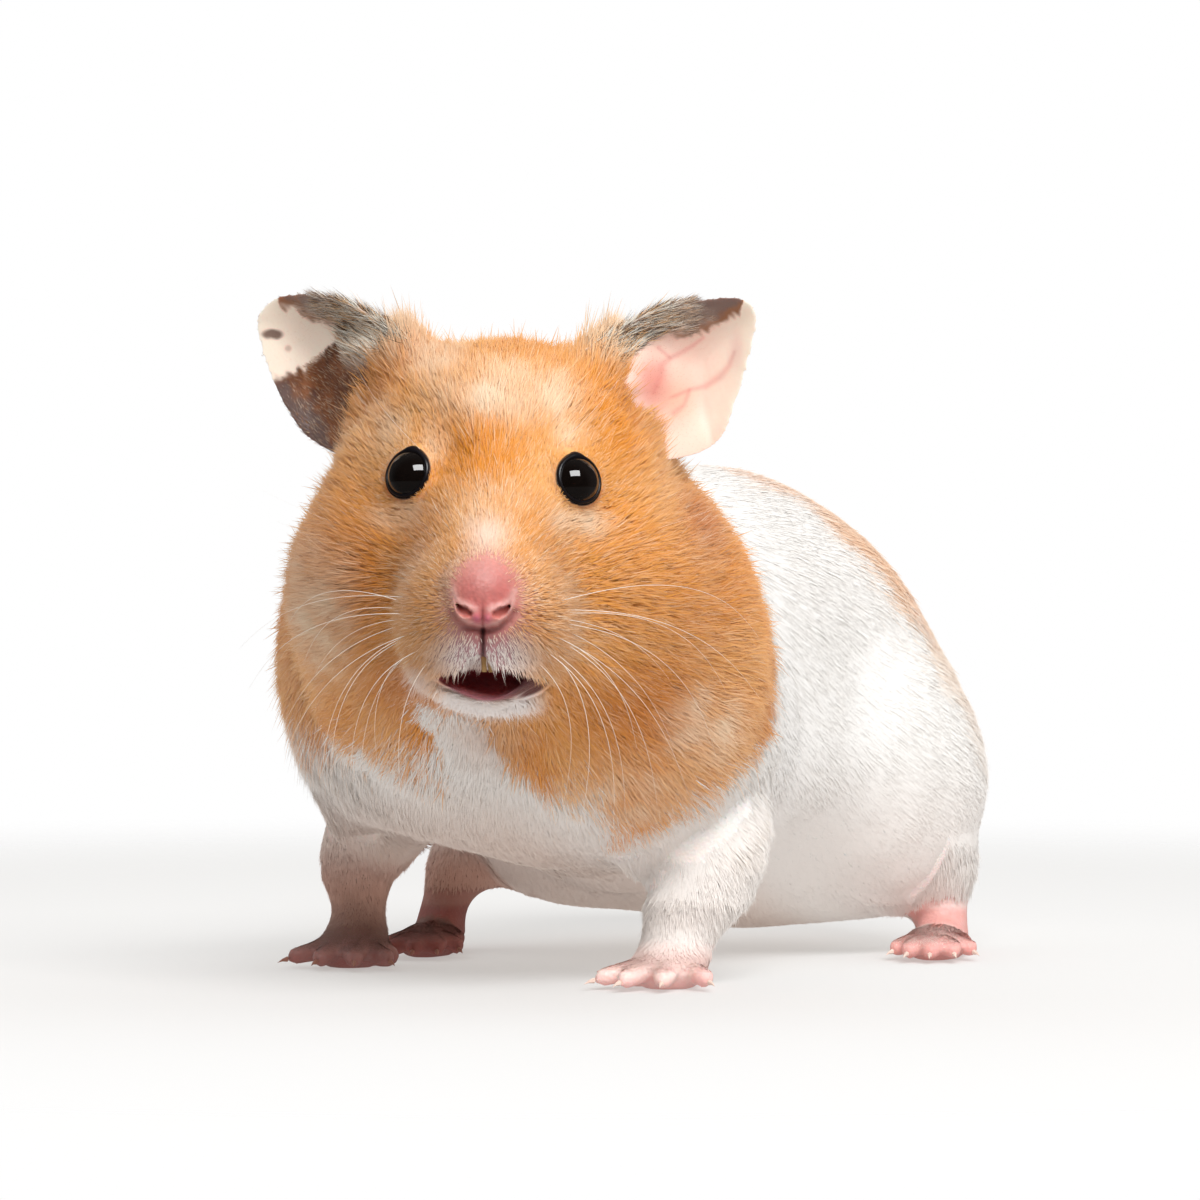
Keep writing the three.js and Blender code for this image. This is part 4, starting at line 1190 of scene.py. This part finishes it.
def sown(mesh, crowd, seed):
    """Roots scattered over a mesh at the wished crowding, and the way the mesh faces at each."""
    mesh.calc_loop_triangles()
    corners = np.empty(len(mesh.loop_triangles) * 3, np.int32)
    mesh.loop_triangles.foreach_get("vertices", corners)
    corners = corners.reshape(-1, 3)
    points, normals = places(mesh), facing(mesh)
    a, b, c = (points[corners[:, k]] for k in range(3))
    area = span(np.cross(b - a, c - a)) / 2
    wanted = area * crowd((a + b + c) / 3)
    total = int(min(wanted.sum(), MOST_HAIRS))
    draw = np.random.default_rng(seed)
    order = np.cumsum(wanted) / wanted.sum()
    pick = np.searchsorted(order, (np.arange(total) + draw.random(total)) / total).clip(0, len(area) - 1)
    u, v = draw.random(total), draw.random(total)
    fold = u + v > 1
    u[fold], v[fold] = 1 - u[fold], 1 - v[fold]
    share = [(1 - u - v)[:, None], u[:, None], v[:, None]]
    roots = sum(share[k] * points[corners[pick, k]] for k in range(3))
    faces = sum(share[k] * normals[corners[pick, k]] for k in range(3))
    some = slice(None, None, 1)
    return roots[some], (faces / span(faces)[:, None])[some]


BLADE = [0, 1, 2, 1, 3, 2]  # the two faces of a blade: its root, its two sides and its tip
PATCH = np.array([[0.0, -0.0015], [-0.0015, 0.0], [0.0015, 0.0], [0.0, 0.0015]])


def blades(name, roots, normals, flow, length, lift, width, tuft_size, gather, varied, lean, colours, seed):
    """A mesh of hairs. Each is a blade of two faces that rises from its root and then bends back."""
    count = len(roots)
    draw = np.random.default_rng(seed)
    middles, shared = tufts(roots, tuft_size)
    across = np.cross(normals, flow)
    sway = (draw.normal(0, 0.13, count) + (shared[:, 0] - 0.5) * 0.42) * np.clip(lift / 0.2, 0.35, 1)
    flow = flow * np.cos(sway)[:, None] + across * np.sin(sway)[:, None]
    across = np.cross(normals, flow)
    length = length * draw.uniform(0.7, 1.12, count) * (0.9 + 0.2 * shared[:, 1])
    stray = draw.random(count) < 0.03
    length = length * np.where(stray, 1.18, 1.0)
    lift = lift * draw.uniform(0.75, 1.25, count) * (0.85 + 0.3 * shared[:, 0]) * np.where(stray, 1.5, 1.0)
    rise, run = np.sin(lift), np.cos(lift)
    pull = middles - roots
    pull -= normals * (pull * normals).sum(1)[:, None]
    roll = draw.normal(0, 0.6 * varied, count)
    side = across * np.cos(roll)[:, None] + normals * np.sin(roll)[:, None]
    half = width * draw.uniform(0.7, 1.3, count) / 2
    curl = draw.normal(0, 0.06, count)

    def spot(t):
        up = (rise * t * 1.25 - rise * 0.35 * t * t) * length
        on = run * length * t
        out = flow * on[:, None] + normals * up[:, None] + across * (curl * length * t * t)[:, None]
        return roots + out + pull * (np.broadcast_to(gather, count) * t ** 1.3)[:, None]

    base, bend, tip = roots - normals * 0.12, spot(0.48), spot(1.0)
    shape = np.stack([base, bend - side * half[:, None], bend + side * half[:, None], tip], axis=1)
    shape[:, :, 2] = np.maximum(shape[:, :, 2], 0.02)
    mesh = bpy.data.meshes.new(name)
    mesh.vertices.add(count * 4)
    mesh.vertices.foreach_set("co", (shape * MM).astype(np.float32).ravel())
    corners = (np.arange(count)[:, None] * 4 + np.array(BLADE)).astype(np.int32).ravel()
    mesh.loops.add(len(corners))
    mesh.loops.foreach_set("vertex_index", corners)
    mesh.polygons.add(count * 2)
    mesh.polygons.foreach_set("loop_start", np.arange(0, count * 6, 3, dtype=np.int32))
    mesh.polygons.foreach_set("use_smooth", np.ones(count * 2, bool))
    mesh.update(calc_edges=True)
    laid = (unwrapped(roots)[:, None, :] + PATCH[None]).reshape(-1, 2)
    mesh.uv_layers.new(name="OFBake").data.foreach_set("uv", laid[corners].astype(np.float32).ravel())
    varied = varied * (1 - 0.7 * soft(0.25, 0.6, colours[:, 2]))  # pale hair varies less
    mixed = draw.normal(0, 1, count) * varied + (shared[:, 1] - 0.5) * varied
    tone = tinted(tinted(colours, CREAM_HAIR, mixed * 0.7), DEEP_GOLD * 0.9, -mixed * 0.4)
    tipped = tinted(tone, CREAM_HAIR, varied * draw.uniform(0.0, 0.5, count))
    whole = np.stack([tone * (1 - 0.25 * varied)[:, None], tone, tone, tipped], axis=1).clip(0, 0.97)
    coloured(mesh, "hair", whole.reshape(-1, 3))
    leaning = normals + side * (varied * draw.normal(0, 0.36, count))[:, None]
    leaning = leaning + np.broadcast_to(lean, count)[:, None] * flow
    leaning /= span(leaning)[:, None]
    mesh.normals_split_custom_set_from_vertices(np.repeat(leaning, 4, axis=0).astype(np.float32))
    mesh.materials.append(coat_fur)
    return mesh


def shown(name, mesh):
    fur = thing(name, mesh)
    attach(fur, "root")


coat_fur, shader = finish(
    "coat fur", Roughness=0.65, Specular_IOR_Level=0.2, Sheen_Weight=0.12, Sheen_Roughness=0.5,
)
reads_colour(coat_fur, shader, "hair")


def crowding(points):
    wanted = np.array([CROWD[part] for part in REGIONS], float)[region(points)]
    return wanted * (1 - bare(points)) * sparseness(points)


ear_trees = [tree_of(ear.data) for ear in ears.values()]


def by_ear(points, reach):
    """1 close to an ear, falling softly to 0 at the reach."""
    head = in_head(points)
    share = np.zeros(len(points))
    for i in np.nonzero((head[:, 2] > 0) & (np.abs(head[:, 0]) > 8) & (head[:, 1] < 24))[0]:
        gap = min(tree.find_nearest(Vector(points[i]) * MM)[3] for tree in ear_trees) / MM
        share[i] = max(0.0, 1 - gap / reach)
    return share


def ear_tufts(head):
    """1 on the loose pale tufts of the crown, inwards of each ear."""
    return around(both_sides(head), [10.3, 8.0, 13.0], [3.4, 9.0, 4.0], 0.8)


draw = np.random.default_rng(8)
roots, normals = sown(skin.data, crowding, 7)
keep = draw.random(len(roots)) > bare(roots)
roots, normals = roots[keep], normals[keep]
head = in_head(roots)
flow = lie(roots, normals)
length = hair_length(roots)
part = region(roots)
strays = draw.normal(0, 0.9, len(roots))
# by the ears the hair turns out and up
eared = by_ear(roots, 4.0)
tufted = ear_tufts(head)
outwards = np.tile([0.8, 0.1, 0.6], (len(roots), 1))
outwards[:, 0] *= np.sign(head[:, 0])
outwards = outwards @ HEAD
flow = flow + (outwards - flow) * (0.7 * eared)[:, None]
flow = flow + (np.array([0.0, 0.1, 1.0]) @ HEAD - flow) * (0.7 * tufted)[:, None]
flow = along_skin(flow, normals)
chin = around(head, [0.5, -9.5, -22.8], [7.5, 6, 2.2], 0.6)
crown = around(head, [0.0, 6.0, 15.0], [14.0, 12.0, 5.0], 0.9)
ruffled = np.maximum.reduce([0.6 * eared, 1.6 * tufted, 0.12 * crown, pad_side(head), 0.4 * chin])
# the hair of the upper lip is short, and a few long hairs hang over the mouth
lipped = around(head, [0.5, -12.0, -18.0], [7.0, 7, 3.4], 0.6)
hanging = around(head, [0.5, -13.0, -18.0], [5.4, 6, 2.0], 0.6) * (draw.random(len(roots)) < 0.09)
length = length * (1 - 0.25 * lipped * draw.random(len(roots)))
length = length * (1 + 1.2 * hanging)
length = length * (1 - 0.15 * eared) * (1 + 0.6 * tufted)
# white hair lies calmer than golden hair, and gathers less
golden = np.maximum(hood(roots) > 0, saddle(roots, 0) > 0.4) * (part == ON_TRUNK)
white = soft(0.0, -3.0, hood(roots))
smooth = np.maximum(lipped, white * (part > ON_HEAD))
calm = 1 - 0.65 * white * (part == ON_NECK) - 0.2 * (part == ON_LEGS)
calm = calm - 0.4 * (part == ON_TRUNK) * (golden == 0)
wider = 1.0
for i, name in enumerate(REGIONS):
    mine = np.nonzero(part == i)[0]
    along = roots[mine, 1] if name == "trunk" else head[mine, 0]
    mine = mine[np.argsort(along)]
    for k, own in enumerate(np.array_split(mine, math.ceil(len(mine) / HAIRS_IN_PIECE))):
        marks = roots[own] + flow[own] * (length[own] * 0.5)[:, None]
        mesh = blades(
            f"coat_{name}_{k + 1}", roots[own], normals[own], flow[own], length[own],
            LIFT[name] * calm[own] + 0.3 * ruffled[own], WIDTH[name] * wider, TUFT[name],
            GATHER[name] * (1 - 0.85 * smooth[own]), VARIED[name] + 0.12 * golden[own],
            0.2 - 0.9 * chin[own], hair_colour(marks, strays[own]), 100 + 10 * i + k,
        )
        shown(mesh.name, mesh)

# The ears carry very short down, and longer grey and cream hair grows over their roots and up
# the backs of their rims.
EAR_CROWD = 24  # hairs on a square mm of the down
GREY_HAIR = paint(92, 72, 62)
PALE_HAIR = paint(255, 246, 232)


def ear_crowding(side):
    return lambda points: EAR_CROWD * (0.25 + 1.85 * ear_base(points, side) + 0.9 * ear_down(points, side))


for side, ear in ears.items():
    roots, normals = sown(ear.data, ear_crowding(side), 70)
    draw = np.random.default_rng(71)
    base = ear_base(roots, side)
    outwards = np.array([0.75 if side == "left" else -0.75, 0.1, 0.62]) @ HEAD
    flow = along_skin(outwards, normals)
    kind = draw.random(len(roots))[:, None]
    x, z = on_ear(roots)
    rim = soft(-2.6, -0.6, z - line_height(x, RIM_LINE[side]))[:, None]
    darker = np.where(kind < 0.9 - 0.25 * rim, TAN_HAIR, GREY_HAIR)
    pelt = np.where(kind < 0.72 - 0.3 * rim, PALE_HAIR, darker)
    down = ear_colour(roots, normals, side) * 1.04
    mesh = blades(
        f"coat_ear_{side}", roots, normals, flow, 0.25 + 2.5 * base ** 1.3 + 0.5 * ear_down(roots, side),
        0.26, 0.06 * wider, 0.5, 0.2, 0.1 + 0.25 * ear_down(roots, side), 0.35,
        down + (pelt - down) * base[:, None], 72,
    )
    shown(mesh.name, mesh)

# The whiskers are long clear hairs in rows on each lip pad. They spread sideways, sweep back beside
# the cheeks and droop, with one fine brow hair over each eye and two on each cheek.
WHISKER_HALF = 0.04
draw = np.random.default_rng(61)
strands = bpy.data.curves.new("whiskers", "CURVE")
strands.dimensions = "3D"
strands.bevel_depth = WHISKER_HALF * MM
strands.bevel_resolution = 1
strands.use_fill_caps = True


def strand(seat, reach, bow, thick):
    """One whisker from the skin near a seat. It ends at the reach from it, bowed out on the way."""
    root = np.array(skin_tree.find_nearest(Vector(from_head([seat])[0]) * MM)[0]) / MM
    spline = strands.splines.new("NURBS")
    spline.points.add(8)
    for i in range(9):
        t = i / 8
        off = np.asarray(reach) * t + np.asarray(bow) * 4 * t * (1 - t)
        spline.points[i].co = (*((root + off @ HEAD) * MM), 1)
        spline.points[i].radius = thick * (1.0 - 0.84 * t)
    spline.order_u = 4
    spline.use_endpoint_u = True
    spline.resolution_u = 3


WHISKERS = 13
for side in (1, -1):
    for i in range(WHISKERS):
        f = i / (WHISKERS - 1)
        out = 6.4 + 3.4 * (i % 3) / 2 - 1.6 * f
        seat = [PAD_MIDDLE + side * out, -11.0 + 1.2 * (i % 3), -12.6 - 5.6 * f]
        down = math.radians(10 + 72 * f + draw.uniform(-7, 7))
        long = (25 - 8 * f) * draw.uniform(0.62, 1.08) * (1.0 if side > 0 else 0.95)
        back = 0.62 * math.cos(down) + draw.uniform(-0.08, 0.12)
        heading = np.array([side * math.cos(down), back, -math.sin(down)])
        reach = heading / np.linalg.norm(heading) * long
        bow = np.array([side * 0.1, -0.02, 0.125 - 0.04 * f]) * long * draw.uniform(0.7, 1.3)
        strand(seat, reach, bow, draw.uniform(0.8, 1.1))
    strand([side * 9.2, -5.0, -6.6], [side * 15.5, 9.0, 5.0], [0, -0.5, -0.6], 0.45)
    strand([side * 9.8, -4.2, -8.0], [side * 13.0, 9.0, 3.0], [0, -0.4, -0.7], 0.45)
    strand([side * 6.8, -4.0, 3.6], [side * 7.5, 3.0, 9.5], [side * 0.8, -0.8, 0], 0.4)
curve = thing("whisker_curves", strands)
bpy.context.view_layer.update()
mesh = bpy.data.meshes.new_from_object(curve.evaluated_get(bpy.context.evaluated_depsgraph_get()))
bpy.data.objects.remove(curve)
mesh.name = "whiskers"
whiskers = thing("whiskers", mesh)
clear_hair, shader = finish("whisker", Roughness=0.35, Specular_IOR_Level=0.5)
clouded(clear_hair, shader, 300, paint(244, 226, 206), paint(255, 250, 242))
clothed(mesh, clear_hair)
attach(whiskers, "root")

# The floor is a plain white sheet of matt paint. It fades into the white room further off.
# It stands still under the feet and is no part of the animal.
FLOOR_CLEAR, FLOOR_GONE = 0.12, 0.3  # metres from the animal's middle
sheet = bmesh.new()
bmesh.ops.create_grid(sheet, x_segments=2, y_segments=2, size=1.5)
floor = thing("floor", cast("floor", sheet))
floor_paint, shader = finish("floor", Roughness=0.9, Specular_IOR_Level=0.0, Emission_Strength=0.42)
shader.inputs["Base Color"].default_value = (0.4, 0.4, 0.4, 1)
shader.inputs["Emission Color"].default_value = (1, 0.98, 0.95, 1)
where = new_node(floor_paint, "TexCoord")
far = new_node(floor_paint, "VectorMath", {1: (-0.03, 0.05, 0)}, operation="DISTANCE")
fade = new_node(
    floor_paint, "MapRange", {"From Min": FLOOR_CLEAR, "From Max": FLOOR_GONE},
    interpolation_type="SMOOTHSTEP",
)
clear = new_node(floor_paint, "BsdfTransparent")
blend = new_node(floor_paint, "MixShader")
path = new_node(floor_paint, "LightPath")
hush = new_node(floor_paint, "Math", {1: 0.92}, operation="MULTIPLY")  # it hardly shows in wet surfaces
clearer = new_node(floor_paint, "Math", operation="MAXIMUM")
wired(
    floor_paint, (where, "Object", far, 0), (far, "Value", fade, "Value"), (path, "Is Glossy Ray", hush, 0),
    (hush, "Value", clearer, 0), (fade, "Result", clearer, 1), (clearer, "Value", blend, "Fac"),
    (shader, "BSDF", blend, 1), (clear, "BSDF", blend, 2),
    (blend, "Shader", floor_paint.node_tree.nodes["Material Output"], "Surface"),
)
floor.data.materials.append(floor_paint)

# The room is plain white behind the animal. It gives its light from behind, above and the
# animal's right, and is dim in front.
ROOM_DIM_SIDE = (0.3, -0.93, -0.2)
room = bpy.data.worlds.new("white room")
bpy.context.scene.world = room
room.use_nodes = True
white = room.node_tree.nodes["Background"]
white.inputs["Color"].default_value = (1, 1, 1, 1)
white.inputs["Strength"].default_value = 1.0
glow = new_node(room, "Background")
where = new_node(room, "TexCoord")
ahead = new_node(room, "VectorMath", {1: ROOM_DIM_SIDE}, operation="DOT_PRODUCT")
dim = new_node(
    room, "MapRange", {"From Min": -0.35, "From Max": 0.4, "To Min": 1.4, "To Max": 0.1},
    interpolation_type="SMOOTHSTEP",
)
path = new_node(room, "LightPath")
blend = new_node(room, "MixShader")
hush = new_node(room, "MapRange", {"To Min": 1.0, "To Max": 0.05})  # the room hardly shows in wet surfaces
both = new_node(room, "Math", operation="MULTIPLY")
wired(
    room, (where, "Generated", ahead, 0), (ahead, "Value", dim, "Value"),
    (path, "Is Glossy Ray", hush, "Value"), (dim, "Result", both, 0), (hush, "Result", both, 1),
    (both, "Value", glow, "Strength"), (path, "Is Camera Ray", blend, "Fac"),
    (glow, "Background", blend, 1), (white, "Background", blend, 2),
    (blend, "Shader", room.node_tree.nodes["World Output"], "Surface"),
)

# The lamp is a wide soft box about 1.2 metres off, above and in front on the animal's left. The
# camera stands half a metre in front, level with the eyes and to the animal's left.
SOFT_BOX_PLACE = Vector((0.669, -0.685, 0.831))
SOFT_BOX_AIM = Vector((0.01, -0.04, 0.04))
soft_box = bpy.data.lights.new("soft box", "AREA")
soft_box.shape = "RECTANGLE"
soft_box.size = 0.83
soft_box.size_y = 0.51
soft_box.energy = 16.2
lamp = thing("soft box", soft_box)
lamp.location = SOFT_BOX_PLACE
lamp.rotation_euler = (SOFT_BOX_AIM - SOFT_BOX_PLACE).to_track_quat("-Z", "Y").to_euler()
lens = bpy.data.cameras.new("camera")
lens.lens = 150
lens.sensor_width = 36
lens.clip_start = 0.01
camera = thing("camera", lens)
camera.location = Vector(BROW) * MM + Vector((0.2439, -0.4365, -0.0108))
tilt = math.radians(0.195)
ahead = Vector((-0.4691 * math.cos(tilt), 0.8831 * math.cos(tilt), -math.sin(tilt)))
camera.rotation_euler = ahead.to_track_quat("-Z", "Y").to_euler()
bpy.context.scene.camera = camera
bpy.context.scene.view_settings.view_transform = "Standard"

bpy.context.view_layer.update()
